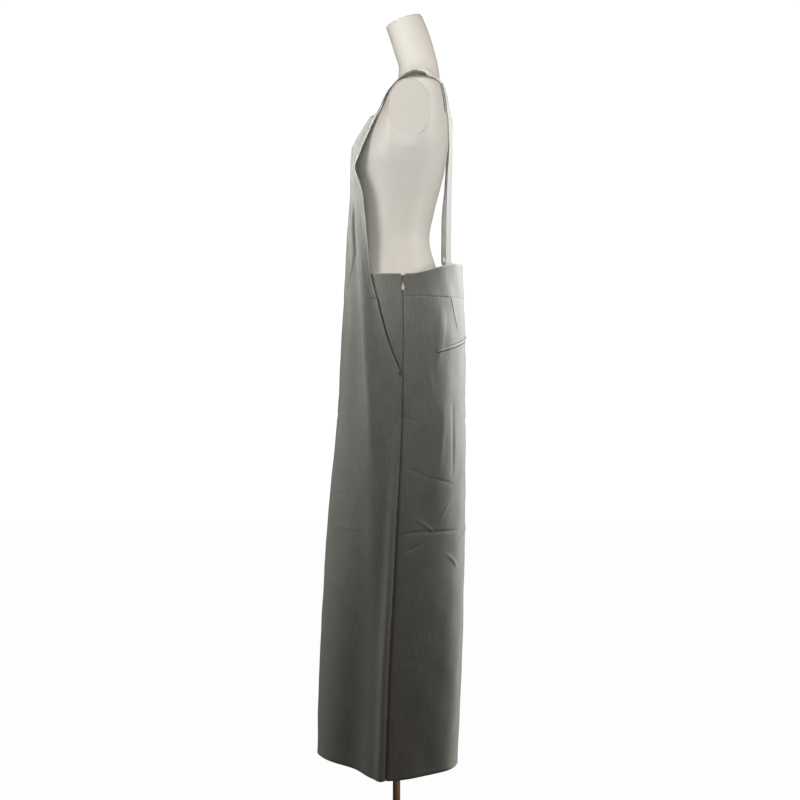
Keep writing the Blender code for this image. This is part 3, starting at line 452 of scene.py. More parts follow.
def outward(grid, side):
    """Level unit directions out of the garment, from the way each row runs."""
    along = np.gradient(grid, axis=1)
    normal = np.stack([along[:, :, 1], -along[:, :, 0], np.zeros(grid.shape[:2])], 2) * side
    return normal / np.maximum(np.linalg.norm(normal, axis=2, keepdims=True), 1e-9)


def normals(grid):
    """Unit normals of a grid: the cross product of the way along a row and the way up a column."""
    normal = np.cross(np.gradient(grid, axis=1), np.gradient(grid, axis=0))
    return normal / np.maximum(np.linalg.norm(normal, axis=2, keepdims=True), 1e-12)


def facing(grid, side):
    """The grid with its columns turned, where needed, so that its faces look out of the garment."""
    return grid if side > 0 else grid[:, ::-1]


def outer_normals(grid, side):
    """Normals that look out of the garment, in the grid's own order of columns."""
    return facing(normals(facing(grid, side)), side)


def rim_indices(rows, columns):
    """Indices of a grid's outline, once round: along the bottom, up, back along the top and down."""
    index = np.arange(rows * columns).reshape(rows, columns)
    return np.concatenate([index[0], index[1:, -1], index[-1, -2::-1], index[-2:0:-1, 0]])


def quads_between(first, second):
    """Quads between two closed loops of indices."""
    return np.stack([np.roll(first, -1), first, second, np.roll(second, -1)], 1)


def grid_quads(rows, columns):
    """Quads between the points of a grid."""
    index = np.arange(rows * columns).reshape(rows, columns)
    quads = np.stack([index[:-1, :-1], index[:-1, 1:], index[1:, 1:], index[1:, :-1]], 2)
    return quads.reshape(-1, 4)


def new_mesh(name, points, faces, uv=None, numbers=()):
    """A smooth mesh from arrays of points and faces, with a UV map and named numbers on its points."""
    mesh = bpy.data.meshes.new(name)
    mesh.from_pydata(points.tolist(), [], faces.tolist())
    if uv is not None:
        corner = np.empty(len(mesh.loops), np.int32)
        mesh.loops.foreach_get("vertex_index", corner)
        mesh.uv_layers.new(name="cloth").data.foreach_set("uv", uv[corner].ravel().astype(np.float32))
    for label, values in numbers:
        made = mesh.attributes.new(label, "FLOAT", "POINT")
        made.data.foreach_set("value", values.astype(np.float32).ravel())
    mesh.shade_smooth()
    return mesh


def add_piece(name, mesh, finish, body=GARMENT, replaces=()):
    """Links the piece, gives it its finish, lets it ride on its body and stand for its solids."""
    piece = bpy.data.objects.new(name, mesh)
    bpy.context.scene.collection.objects.link(piece)
    mesh.materials.append(finish)
    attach(piece, body)
    if replaces:
        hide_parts(*replaces)
    return piece


def wall_mesh(name, grid, thickness, uv, wear):
    """Outer skin, inner skin and a rounded rim round a grid that is the middle of the cloth."""
    rows, columns = grid.shape[:2]
    normal = normals(grid)
    half = np.broadcast_to(thickness, (rows, columns))[:, :, None] / 2
    outline = rim_indices(rows, columns)
    away = np.zeros(grid.shape)
    away[0] += grid[0] - grid[1]
    away[-1] += grid[-1] - grid[-2]
    away[:, 0] += grid[:, 0] - grid[:, 1]
    away[:, -1] += grid[:, -1] - grid[:, -2]
    away = away.reshape(-1, 3)[outline]
    away /= np.maximum(np.linalg.norm(away, axis=1, keepdims=True), 1e-12)
    rim = grid.reshape(-1, 3)[outline] + away * half.reshape(-1, 1)[outline] * RIM_OUT
    skins = [(grid + normal * half).reshape(-1, 3), (grid - normal * half).reshape(-1, 3)]
    points = np.concatenate([*skins, rim])
    count = rows * columns
    quads = grid_quads(rows, columns)
    ring_of_rim = 2 * count + np.arange(len(outline))
    faces = np.concatenate([
        quads,
        quads[:, ::-1] + count,
        quads_between(outline, ring_of_rim),
        quads_between(ring_of_rim, outline + count),
    ])
    uv, wear = uv.reshape(-1, 2), wear.ravel()
    return new_mesh(
        name, points, faces, np.concatenate([uv, uv, uv[outline]]),
        [("wear", np.concatenate([wear, wear, wear[outline]]))],
    )


def edge_distances(grid):
    """How far each point is from the grid's left, right, bottom and top edge, along its row or column."""
    across = travelled(grid)
    up = travelled(grid.transpose(1, 0, 2)).T
    return across, across[:, -1:] - across, up, up[-1:] - up


def cloth_uv(s, grid):
    """Metres on the cloth: the distance from the side seam, and the distance up the piece."""
    up = travelled(grid.transpose(1, 0, 2)).T
    return np.stack([s, up], 2)


def declare_cloth(piece, grid):
    """States the cut: the longest row, the longest column and the area of the middle of the cloth."""
    across, up = travelled(grid)[:, -1].max(), travelled(grid.transpose(1, 0, 2))[:, -1].max()
    corner = np.cross(np.diff(grid[:-1], axis=1), np.diff(grid[:, :-1], axis=0))
    area = float(np.linalg.norm(corner, axis=2).sum())
    flat = (round(float(across), 3), round(max(float(up), LEAST_CUT), 3))
    area = min(area, flat[0] * flat[1])
    print(f"{piece.name}: cut {flat[0]:.3f} x {flat[1]:.3f} m, {area:.3f} square metres")


print("the rim round a grid of 4 by 3 has", len(rim_indices(4, 3)), "points")

# %% [markdown]
# ## Finishes
#
# The suiting is a worsted twill of wool and polyester: woven from two close shades of yarn, pressed, and a
# little hairy, so it is matt in front and pale at a glancing angle. The form is moulded fibreglass with a
# satin paint. The stand is steel with a bronze finish. All colours are written as sRGB hex and turned to
# linear by one function, and one function adds every node.

# %% Colour and node helpers
def linear(hex_colour):
    """An sRGB hex colour as linear RGBA."""
    values = [int(hex_colour[i : i + 2], 16) / 255 for i in (1, 3, 5)]
    return tuple(v / 12.92 if v <= 0.04045 else ((v + 0.055) / 1.055) ** 2.4 for v in values) + (1.0,)


def add_node(tree, kind, inputs=None, **settings):
    """Adds a node of any kind. inputs gives each socket a value, or another node's output to link from."""
    node = tree.nodes.new(kind)
    for name, value in settings.items():
        setattr(node, name, value)
    for name, value in (inputs or {}).items():
        socket = node.inputs[name]
        if isinstance(value, bpy.types.NodeSocket):
            tree.links.new(value, socket)
        else:
            socket.default_value = value
    return node


def new_material(name, **sockets):
    """A material whose Principled shader has these values set on its sockets."""
    made = bpy.data.materials.new(name)
    made.use_nodes = True
    shader = made.node_tree.nodes["Principled BSDF"]
    for label, value in sockets.items():
        shader.inputs[label.replace("_", " ")].default_value = value
    return made, made.node_tree, shader


def two_shades(name, kind, pattern, dark, light, **sockets):
    """A finish whose colour runs between two shades, as a texture on Object coordinates says. pattern gives
    the texture's inputs, with its scale as 1 over the real size in metres."""
    made, tree, shader = new_material(name, **sockets)
    place = add_node(tree, "ShaderNodeTexCoord").outputs["Object"]
    texture = add_node(tree, kind, {"Vector": place, **pattern})
    shades = add_node(
        tree, "ShaderNodeMixRGB",
        {"Fac": texture.outputs["Fac"], "Color1": linear(dark), "Color2": linear(light)},
    )
    tree.links.new(shades.outputs["Color"], shader.inputs["Base Color"])
    return made, texture


# %% Worsted suiting
# Woven twill shows fine diagonal ribs. They are half a millimetre apart on the real cloth, too fine for the
# view, so here they are 1.5 mm apart. The yarns differ a little in shade, which gives faint upright streaks,
# and thicker stretches of yarn, the slubs, give paler patches a few centimetres across.
RIB_PITCH = 0.0015
RIB_TURN = math.radians(63)
BANDS_PER_UNIT = 3.2  # a wave texture of scale 1 repeats this often in a metre
YARN_SIZE = (0.0016, 0.030)  # across and along a streak of yarn
SLUB_SIZE = (0.05, 0.09)
suiting, tree, shader = new_material(
    "worsted_twill_suiting", Roughness=0.78, Sheen_Weight=0.85, Sheen_Roughness=0.40,
    Sheen_Tint=linear("#C9CBC6"), Specular_IOR_Level=0.35,
)
cloth_map = add_node(tree, "ShaderNodeUVMap", uv_map="cloth").outputs["UV"]
twill_map = add_node(tree, "ShaderNodeMapping", {"Vector": cloth_map, "Rotation": (0, 0, RIB_TURN)})
twill = add_node(
    tree, "ShaderNodeTexWave",
    {
        "Vector": twill_map.outputs["Vector"], "Scale": 1 / (RIB_PITCH * BANDS_PER_UNIT), "Distortion": 0.4,
        "Detail": 1.0,
    },
)
yarn_map = add_node(
    tree, "ShaderNodeMapping", {"Vector": cloth_map, "Scale": (1 / YARN_SIZE[0], 1 / YARN_SIZE[1], 1)}
)
yarn = add_node(
    tree, "ShaderNodeTexNoise", {"Vector": yarn_map.outputs["Vector"], "Scale": 1.0, "Detail": 2.0}
)
slub_map = add_node(
    tree, "ShaderNodeMapping", {"Vector": cloth_map, "Scale": (1 / SLUB_SIZE[0], 1 / SLUB_SIZE[1], 1)}
)
slub = add_node(
    tree, "ShaderNodeTexNoise", {"Vector": slub_map.outputs["Vector"], "Scale": 1.0, "Detail": 3.0}
)
shade = add_node(
    tree, "ShaderNodeMixRGB",
    {"Fac": yarn.outputs["Fac"], "Color1": linear("#5E605B"), "Color2": linear("#868782")},
)
patchy = add_node(
    tree, "ShaderNodeMixRGB",
    {"Fac": slub.outputs["Fac"], "Color1": linear("#D9DAD4"), "Color2": linear("#FFFFFF")},
)
toned = add_node(
    tree, "ShaderNodeMixRGB",
    {"Fac": 1.0, "Color1": shade.outputs["Color"], "Color2": patchy.outputs["Color"]},
    blend_type="MULTIPLY",
)
# The number on the points pales the cloth along its free edges: partly wear of the fold, partly a painted
# highlight where the rounded fold catches the light.
wear = add_node(tree, "ShaderNodeAttribute", attribute_name="wear")
worn_and_lit = add_node(
    tree, "ShaderNodeMixRGB",
    {"Fac": wear.outputs["Fac"], "Color1": toned.outputs["Color"], "Color2": linear("#9FA09A")},
)
tree.links.new(worn_and_lit.outputs["Color"], shader.inputs["Base Color"])
ribs = add_node(
    tree, "ShaderNodeBump", {"Height": twill.outputs["Fac"], "Strength": 0.25, "Distance": 0.00025}
)
hairs = add_node(
    tree, "ShaderNodeBump",
    {"Height": yarn.outputs["Fac"], "Normal": ribs.outputs["Normal"], "Strength": 0.25, "Distance": 0.0004},
)
tree.links.new(hairs.outputs["Normal"], shader.inputs["Normal"])

# %% Moulded fibreglass, painted
# Satin paint over a moulding gathers dust in patches a hand wide. Where it was sprayed it also has a faint
# orange-peel, with dimples a few millimetres across.
form_paint, _ = two_shades(
    "satin_painted_fibreglass", "ShaderNodeTexNoise", {"Scale": 1 / 0.11, "Detail": 4.0},
    "#E2DFD4", "#ECEAE2", Roughness=0.5, Specular_IOR_Level=0.4, Coat_Weight=0.08,
    Coat_Roughness=0.35,
)
tree = form_paint.node_tree
place = add_node(tree, "ShaderNodeTexCoord").outputs["Object"]
peel = add_node(tree, "ShaderNodeTexNoise", {"Vector": place, "Scale": 1 / 0.004, "Detail": 2.0})
peel_bump = add_node(
    tree, "ShaderNodeBump", {"Height": peel.outputs["Fac"], "Strength": 0.12, "Distance": 0.0003}
)
tree.links.new(peel_bump.outputs["Normal"], tree.nodes["Principled BSDF"].inputs["Normal"])

# %% Steel with a bronze finish
# Bronze-coloured lacquer on turned steel keeps the fine rings left by the tool, here 0.8 mm apart.
TOOL_RINGS = (0.02, 0.02, 0.0008)
bronzed, rings = two_shades(
    "bronzed_steel", "ShaderNodeTexNoise", {"Scale": 1.0, "Detail": 3.0},
    "#8E765E", "#BC9E80", Metallic=0.2, Roughness=0.42,
)
tree = bronzed.node_tree
place = add_node(tree, "ShaderNodeTexCoord").outputs["Object"]
rings_map = add_node(
    tree, "ShaderNodeMapping", {"Vector": place, "Scale": tuple(1 / size for size in TOOL_RINGS)}
)
tree.links.new(rings_map.outputs["Vector"], rings.inputs["Vector"])
ring_bump = add_node(
    tree, "ShaderNodeBump", {"Height": rings.outputs["Fac"], "Strength": 0.15, "Distance": 0.0002}
)
tree.links.new(ring_bump.outputs["Normal"], tree.nodes["Principled BSDF"].inputs["Normal"])

# %% Nickel-plated zinc, woven zip tape, pocketing, horn and sewing thread
# A die-cast slider is plated with nickel and tumbled, which leaves it satin, with scratches 1.2 mm apart.
zip_metal, _ = two_shades(
    "nickel_plated_zinc", "ShaderNodeTexNoise", {"Scale": 1 / 0.0012, "Detail": 3.0},
    "#3C3D3A", "#555651", Metallic=0.85, Roughness=0.32,
)

# The pull is plated bright, and hands leave it a little uneven in patches of 4 mm.
pull_metal, _ = two_shades(
    "bright_nickel_plated_pull", "ShaderNodeTexNoise", {"Scale": 1 / 0.004, "Detail": 2.0},
    "#B4B5B1", "#DCDDD9", Metallic=0.35, Roughness=0.36,
)

# Polyester tape is woven in narrow lengthwise cords about a millimetre wide.
tape_cloth, cords = two_shades(
    "woven_polyester_tape", "ShaderNodeTexWave", {"Scale": 1 / (0.001 * BANDS_PER_UNIT), "Distortion": 0.2},
    "#33342F", "#4A4B45", Roughness=0.82, Sheen_Weight=0.2,
)
cords.bands_direction = "Y"

# Pocketing is a plain cotton and polyester weave, with threads 0.3 mm apart on the real cloth and drawn at
# 0.8 mm. Its colour is near black, as dark as the shade inside a pocket's slit: painted shadow.
slit_shade_pocketing, _ = two_shades(
    "dyed_cotton_pocketing", "ShaderNodeTexNoise", {"Scale": 1 / 0.0008, "Detail": 1.0},
    "#1E1F1C", "#2B2C28", Roughness=0.9, Sheen_Weight=0.1,
)

# Horn is polished and shows cloudy streaks a few millimetres long.
horn, _ = two_shades(
    "polished_horn", "ShaderNodeTexNoise", {"Scale": 1 / 0.006, "Detail": 4.0, "Distortion": 1.2},
    "#4B4A52", "#8A8794", Roughness=0.28, Coat_Weight=0.25, Coat_Roughness=0.15,
)

# Spun polyester thread matches the cloth and is a little smoother than it. Its plies are 0.8 mm long.
thread, _ = two_shades(
    "spun_polyester_thread", "ShaderNodeTexNoise", {"Scale": 1 / 0.0008},
    "#33342F", "#484943", Roughness=0.6, Sheen_Weight=0.15,
)
print("materials:", [m.name for m in bpy.data.materials if m.use_nodes][-9:])

# %% [markdown]
# ## The form
#
# The form is a smooth stack of superellipse rings, like the cloth, with the neck leaning forwards and the
# sides cut off flat where arms would start. It is computed as one array: an angle across and a height up.

# %% Form torso
FORM_COLUMNS = ("z", "front", "back", "half_width", "power")
FORM = [
    (0.960, -0.0560, 0.0760, 0.112, 2.20),
    (0.964, -0.0680, 0.0880, 0.128, 2.20),
    (0.980, -0.0780, 0.1000, 0.142, 2.20),
    (1.020, -0.0840, 0.1120, 0.158, 2.20),
    (1.060, -0.0850, 0.1150, 0.163, 2.20),
    (1.120, -0.0830, 0.1040, 0.150, 2.20),
    (1.180, -0.0790, 0.0870, 0.133, 2.20),
    (1.247, -0.0730, 0.0710, 0.118, 2.20),
    (1.310, -0.0760, 0.0820, 0.123, 2.20),
    (1.360, -0.0820, 0.0950, 0.134, 2.25),
    (1.405, -0.0870, 0.1055, 0.149, 2.30),
    (1.430, -0.0795, 0.1085, 0.157, 2.35),
    (1.450, -0.0715, 0.1110, 0.162, 2.35),
    (1.490, -0.0515, 0.1115, 0.170, 2.35),
    (1.525, -0.0330, 0.1080, 0.171, 2.35),
    (1.548, -0.0230, 0.1040, 0.168, 2.35),
    (1.563, -0.0130, 0.1000, 0.166, 2.30),
    (1.572, -0.0080, 0.0975, 0.138, 2.20),
    (1.581, -0.0030, 0.0955, 0.098, 2.10),
    (1.590, 0.0010, 0.0940, 0.072, 2.05),
    (1.602, 0.0040, 0.0925, 0.055, 2.00),
    (1.618, 0.0050, 0.0900, 0.047, 2.00),
    (1.645, -0.0018, 0.0825, 0.0440, 2.00),
    (1.680, -0.0110, 0.0700, 0.0430, 2.00),
    (1.718, -0.0225, 0.0530, 0.0430, 2.00),
]
ARM_CUT_X = 0.158  # the form ends in a flat oval here, where an arm would start
ARM_CUT_SOFT = 0.004  # the oval's edge is softened over this width
NECK_LEAN, LEAN_FROM_Z = math.radians(19.5), 1.600
CAP_ROUND, CAP_STEPS = 0.0025, 6  # the rounded edge of the neck's flat top


def closed_grid_mesh(name, grid):
    """A tube from a grid whose rows are closed rings, with its first and last row shut by a face."""
    rows, columns = grid.shape[:2]
    index = np.arange(rows * columns).reshape(rows, columns)
    across = np.concatenate([index, index[:, :1]], 1)
    quads = np.stack([across[:-1, :-1], across[:-1, 1:], across[1:, 1:], across[1:, :-1]], 2)
    mesh = bpy.data.meshes.new(name)
    faces = quads.reshape(-1, 4).tolist() + [index[0, ::-1].tolist(), index[-1].tolist()]
    mesh.from_pydata(grid.reshape(-1, 3).tolist(), [], faces)
    mesh.shade_smooth()
    return mesh


def form_grid(rows, segments):
    """Rings x = a|cos|^(2/p), y = b|sin|^(2/p). The flat cap's edge is rounded by rings that shrink in a
    quarter circle, and each ring is sheared by the lean of the neck."""
    data = table(FORM, FORM_COLUMNS)
    z = np.interp(np.linspace(0, len(FORM) - 1, rows), range(len(FORM)), data["z"])
    front, back, half, power = (smooth_between(z, data["z"], data[c]) for c in FORM_COLUMNS[1:])
    round_off = np.linspace(0, math.pi / 2, CAP_STEPS + 1)[1:]
    shrink = CAP_ROUND * (1 - np.cos(round_off))
    low = z[-1] - CAP_ROUND
    z = np.concatenate([np.minimum(z, low), low + CAP_ROUND * np.sin(round_off)])
    front = np.concatenate([front, front[-1] + shrink])
    back = np.concatenate([back, back[-1] - shrink])
    half = np.concatenate([half, half[-1] - shrink])
    power = np.concatenate([power, np.full(CAP_STEPS, power[-1])])
    angle = np.linspace(0, 2 * math.pi, segments, endpoint=False)[None]
    middle, depth = ((front + back) / 2)[:, None], ((back - front) / 2)[:, None]
    p = 2 / power[:, None]
    x = half[:, None] * np.sign(np.cos(angle)) * np.abs(np.cos(angle)) ** p
    y = middle + depth * np.sign(np.sin(angle)) * np.abs(np.sin(angle)) ** p
    # The cut for the arm cover nears its plane as 1-exp(-t), instead of ending in a sharp corner.
    free_x = ARM_CUT_X - ARM_CUT_SOFT
    over = np.maximum(np.abs(x) - free_x, 0)
    x = np.sign(x) * (np.minimum(np.abs(x), free_x) + ARM_CUT_SOFT * (1 - np.exp(-over / ARM_CUT_SOFT)))
    lean = math.tan(NECK_LEAN) * smoothstep(LEAN_FROM_Z, FORM[-1][0], z)[:, None]
    return np.stack([x, y, z[:, None] + (y - middle) * lean], 2)


mesh = closed_grid_mesh("form_body", form_grid(220, 144))
form = add_piece("form_body", mesh, form_paint, replaces=["form_torso"])
print("form:", len(form.data.vertices), "points")


def settled(grid, away):
    """The grid with each point that is inside the form, or closer to it than away, moved out to that
    distance."""
    mesh = new_mesh("settling", grid.reshape(-1, 3), grid_quads(*grid.shape[:2]))
    helper = bpy.data.objects.new("settling", mesh)
    bpy.context.scene.collection.objects.link(helper)
    wrap = helper.modifiers.new("out_of_form", "SHRINKWRAP")
    wrap.target = form
    wrap.wrap_method = "NEAREST_SURFACEPOINT"
    wrap.wrap_mode = "OUTSIDE"
    wrap.offset = away
    graph = bpy.context.evaluated_depsgraph_get()
    evaluated = helper.evaluated_get(graph)
    moved = np.empty(grid.size, np.float32)
    evaluated.data.vertices.foreach_get("co", moved)
    bpy.data.objects.remove(helper)
    return moved.reshape(grid.shape).astype(float)


# %% [markdown]
# ## The fronts
#
# A front is the longest piece: hem, leg, bib and shoulder strap in one. Its rows follow the sections up to
# the bib's top, and then two edge lines carry them over the shoulder. Its free edge is the pocket mouth
# below the waist and the armhole above it, and both are turned in and pressed, so the wall is thicker there.

# %% Shoulder edges and front panels
SHOULDER_COLUMNS = ("neck_x", "neck_y", "neck_z", "arm_x", "arm_y", "arm_z")
SHOULDER = [
    (0.0375, -0.0400, 1.5180, 0.1035, -0.0345, 1.5135),
    (0.0450, -0.0240, 1.5440, 0.1030, -0.0200, 1.5450),
    (0.0535, -0.0020, 1.5740, 0.1020, 0.0000, 1.5695),
    (0.0590, 0.0240, 1.5965, 0.1000, 0.0215, 1.5865),
    (0.0610, 0.0440, 1.6020, 0.1000, 0.0400, 1.5925),
    (0.0620, 0.0650, 1.5995, 0.1000, 0.0580, 1.5885),
    (0.0630, 0.0830, 1.5890, 0.1000, 0.0705, 1.5760),
    (0.0640, 0.0960, 1.5720, 0.0995, 0.0805, 1.5590),
    (0.0645, 0.1060, 1.5480, 0.0985, 0.0895, 1.5350),
    (0.0650, 0.1110, 1.5200, 0.0970, 0.0945, 1.5060),
]
LEG_Z = np.concatenate([
    np.linspace(HEM_Z, 0.54, 62)[:-1],
    np.linspace(0.54, 0.78, 106)[:-1],  # the rows are closest at the knee, where the creases are finest
    np.linspace(0.78, BAND_SEAM_Z - SEAM_GAP, 98),
])
BIB_Z = np.linspace(BAND_SEAM_Z + 0.004, BIB_TOP_Z, 90)
STRAP_ROWS = 76
SEAM_DEPTH, SEAM_WIDTH, BAND_SEAM_WIDTH = 0.0032, 0.0022, 0.0015
INNER_SHARES = np.linspace(0, 1, 30)
OUTER_SHARES = 1 - (1 - np.linspace(0, 1, 62)) ** 1.1
# Columns at the stitched edge and at the facing's line, as distances from the outer edge.
EDGE_COLUMNS = np.array([0.5, 1.0, 1.6, 2.4, 3.4, 4.8, 9.6, 10.6, 11.4, 12.2, 13.2]) / 1000
NECK_X, NECK_Z = 0.070, 1.60  # the V runs from its point straight towards this place
SEEDS = {"front": 3, "back": 7}
ROUGH_FADE = 0.020  # the cloth's unevenness starts this far from a sewn seam
FORM_GAP = 0.0009  # between the cloth and the form it lies on
FACING_LINE, FACING_LINE_WIDTH = 0.0114, 0.0011  # the facing's inner edge, from the free edge
FACING_DEPTH, SHUT_DEPTH = 0.0004, 0.0009  # its groove, and how much deeper it is over the sewn slit
SHOULDER_LEVEL, FAR = 2.0, 1.0  # stand for a height and a distance beyond all others


def panel_surface(panel, side, z, inner_shares, outer_shares, extra=None):
    """Points of a panel, how far each lies from the side seam, and how far from its outer edge. Besides the
    even columns there are some close to the outer edge and, where extra gives distances from the side seam
    for each height, some there, so that a narrow seam keeps its shape."""
    inner, outer = section(panel, side, z)
    start, end = np.zeros(len(z)), travelled(outer)[:, -1]
    if panel == "front":
        neck = NECK_X * np.clip((z - V_POINT_Z) / (NECK_Z - V_POINT_Z), 0, 1)
        start = np.where(z > V_POINT_Z, distance_where(inner, side * inner[:, :, 0], neck), start)
        end = np.where(z > POCKET_END_Z, edge_distance(outer, z), end)
    inner_end = travelled(inner)[:, -1]
    inner_where = start[:, None] + (inner_end - start)[:, None] * inner_shares
    outer_where = [end[:, None] * outer_shares[1:], end[:, None] - EDGE_COLUMNS]
    if extra is not None:
        outer_where.append(travelled(outer)[:, -1:] - extra)
    outer_where = np.sort(np.concatenate(outer_where, 1), 1)
    flat = np.concatenate([at_distance(inner, inner_where), at_distance(outer, outer_where)], 1)
    run = np.concatenate([inner_where - inner_end[:, None], outer_where], 1)
    s = travelled(outer)[:, -1:] - run
    grid = np.concatenate([flat, hung(flat[:, :, 1], z)[:, :, None]], 2)
    lift = fold_lift(panel, side, grid[:, :, 2], s) + crease_lift(panel, side, grid[:, :, 2], s)
    # Both panels turn inwards at the side seam, over the width of the stitching's pull.
    seam = POCKET_END_Z if panel == "front" else BAND_SEAM_Z
    sewn = 1 - smoothstep(seam - 0.004, seam + 0.004, grid[:, :, 2])
    lift = lift - sewn * SEAM_DEPTH * np.exp(-((s / SEAM_WIDTH) ** 2))
    rough = unevenness(grid[:, :, 2], s, SEEDS[panel] + side)
    lift = lift + rough * smoothstep(0, ROUGH_FADE, s) * smoothstep(0, 0.03, end[:, None] - run)
    return grid + outward(grid, side * -WAY[panel]) * lift[:, :, None], s, end[:, None] - run


def shoulder_rows(side, first_row, steps):
    """Two smooth edge lines through the table's points, read at even steps. Between them lie the points of
    the bib's top row, in their own shares."""
    data = table(SHOULDER, SHOULDER_COLUMNS)
    edges = []
    for name, start in (("neck", first_row[0]), ("arm", first_row[-1])):
        line = np.stack([data[name + "_x"] * side, data[name + "_y"], data[name + "_z"]], 1)
        edges.append(np.concatenate([start[None], line]))
    travel = travelled(((edges[0] + edges[1]) / 2)[None])[0]
    at = np.linspace(0, travel[-1], steps + 1)[1:]
    neck, arm = (np.stack([smooth_between(at, travel, e[:, k]) for k in range(3)], 1) for e in edges)
    shares = travelled(first_row[None])[0]
    return neck[:, None] + (arm - neck)[:, None] * (shares / shares[-1])[None, :, None]


def pressed(free):
    """The wall near a free edge, which is turned in and pressed: 11 mm in, it is a single layer again."""
    return CLOTH + (TURNED - CLOTH) * (1 - smoothstep(0.004, 0.011, free))


def rubbed_and_lit_edge(free, reach=0.0040):
    """1 at a free edge, where the fold of the cloth is drawn pale, partly as wear and partly as a painted
    highlight on the rounded fold, and 0 from reach on.
    """
    return 1 - smoothstep(0.0008, reach, free)


def add_cloth(name, grid, side, thickness, uv, wear, finish=suiting, replaces=()):
    """A piece of cloth from its middle surface: its wall, its finish, and the cut that it is sewn from."""
    zeros = np.zeros(grid.shape[:2])
    arrays = (facing(values, side) for values in (grid, zeros + thickness, uv, zeros + wear))
    piece = add_piece(name, wall_mesh(name, *arrays), finish, replaces=replaces)
    declare_cloth(piece, grid)
    return piece


def make_front(side):
    """The whole front as a grid, settled on the form, with its turned edges."""
    z = np.concatenate([LEG_Z, BIB_Z])
    grid, s, _ = panel_surface("front", side, z, INNER_SHARES, OUTER_SHARES)
    strap = shoulder_rows(side, grid[-1], STRAP_ROWS)
    grid = np.concatenate([grid, strap])
    s = np.concatenate([s, np.repeat(s[-1:], len(strap), 0)])
    grid = settled(grid, FORM_GAP + CLOTH / 2)
    left, right, below, _ = edge_distances(grid)
    level = np.concatenate([z, np.full(len(strap), SHOULDER_LEVEL)])[:, None]
    armhole = np.where(level > POCKET_END_Z, right, FAR)
    neckline = np.where(level > V_POINT_Z, left, FAR)
    free = np.minimum(np.minimum(armhole, neckline), below)
    # The facing's inner edge shows through as a shallow line, which is deeper where the pocket is sewn shut.
    facing_line = np.exp(-(((np.minimum(armhole, neckline) - FACING_LINE) / FACING_LINE_WIDTH) ** 2))
    sewn_shut = smoothstep(1.108, 1.116, level) * (1 - smoothstep(1.160, 1.175, level))
    there = (level > 1.09) * (level < SHOULDER_LEVEL)
    groove = (FACING_DEPTH + SHUT_DEPTH * sewn_shut) * facing_line * there
    grid = grid - outward(grid, side) * groove[:, :, None]
    # The bib's and shoulder's edges are drawn palest: partly wear from handling, partly a painted highlight
    # on their rounded folds.
    handled_and_lit = 0.2 + 0.35 * smoothstep(1.08, 1.13, level)  # the bib's and shoulder's edges are handled most
    return grid, s, pressed(free), handled_and_lit * rubbed_and_lit_edge(free)


fronts = {}
for side, label in SIDES:
    grid, s, thickness, wear_and_highlight_there = make_front(side)
    fronts[side] = grid
    piece = add_cloth(
        "front_panel_" + label, grid, side, thickness, cloth_uv(s, grid), wear_and_highlight_there,
        replaces=["front_" + label],
    )
    print(piece.name, "faces:", len(piece.data.polygons))

# %% [markdown]
# ## The backs
#
# A back leg ends at the waistband's level seam. A dart is sewn into it, and shows as a narrow groove from
# the band down towards the pocket. The columns of the grid are drawn towards the dart, because a groove
# that is narrower than a column would be lost.

# %% Back panels with darts
DART = {"high": (0.1109, 1.117), "low": (0.1344, 1.035)}  # its ends: distance from the side seam, height
DART_COLUMNS = np.array([-4.5, -2.6, -1.6, -1.0, -0.5, 0.0, 0.5, 1.0, 1.6, 2.6, 4.5]) / 1000
DART_HALF_WIDTH, DART_DEPTH, DART_SWELL = 0.0012, 0.0016, 0.0006
BACK_SHARES = np.linspace(0, 1, 104)


def make_back(side):
    """The panel's own columns, then the dart: a groove exp(-d^2) along the straight between its ends, and a
    wider swelling exp(-(d/6)^2) of the cloth that is taken in."""
    heights, places = [DART["low"][1], DART["high"][1]], [DART["low"][0], DART["high"][0]]
    columns = np.interp(LEG_Z, heights, places)[:, None] + DART_COLUMNS[None]
    grid, s, _ = panel_surface("back", side, LEG_Z, INNER_SHARES, BACK_SHARES, columns)
    z = grid[:, :, 2]
    d = (s - np.interp(z, heights, places)) / DART_HALF_WIDTH
    there = smoothstep(DART["low"][1], DART["low"][1] + 0.03, z)
    lift = there * (DART_SWELL * np.exp(-((d / 6) ** 2)) - DART_DEPTH * np.exp(-(d**2)))
    grid = grid + outward(grid, -side) * lift[:, :, None]
    _, _, below, _ = edge_distances(grid)
    return grid, s, pressed(below), 0.55 * rubbed_and_lit_edge(below)


backs = {}
for side, label in SIDES:
    grid, s, thickness, wear_and_highlight_there = make_back(side)
    backs[side] = grid
    piece = add_cloth(
        "back_panel_" + label, grid, -side, thickness, cloth_uv(s, grid), wear_and_highlight_there,
        replaces=["back_" + label],
    )
    print(piece.name, "faces:", len(piece.data.polygons))

# %% [markdown]
# ## Side fronts and waistband
#
# The side front fills the hip between the slanted pocket and the zip. It lies a few millimetres behind the
# pocket's edge, so the mouth shows as a dark line. At the top, the edges of the zip draw back in a small V.

# %% Side fronts
NOTCH_DEPTH, NOTCH_HALF_WIDTH = 0.011, 0.0045
HIP_COLUMNS = np.concatenate([np.linspace(0, 0.4, 24)[:-1], np.linspace(0.4, 1, 24)])
PULL_LINE_S, PULL_LINE_Z = 0.0286, 1.110  # a short crease above the pocket, where the bib pulls at the hip


def notch(z):
    """How far the zip's edges have drawn back: a rounded V, as share^1.3 of its half width."""
    share = np.clip((z - WAIST_SIDE_Z + NOTCH_DEPTH) / NOTCH_DEPTH, 0, 1)
    return 0.0002 + NOTCH_HALF_WIDTH * share**1.3


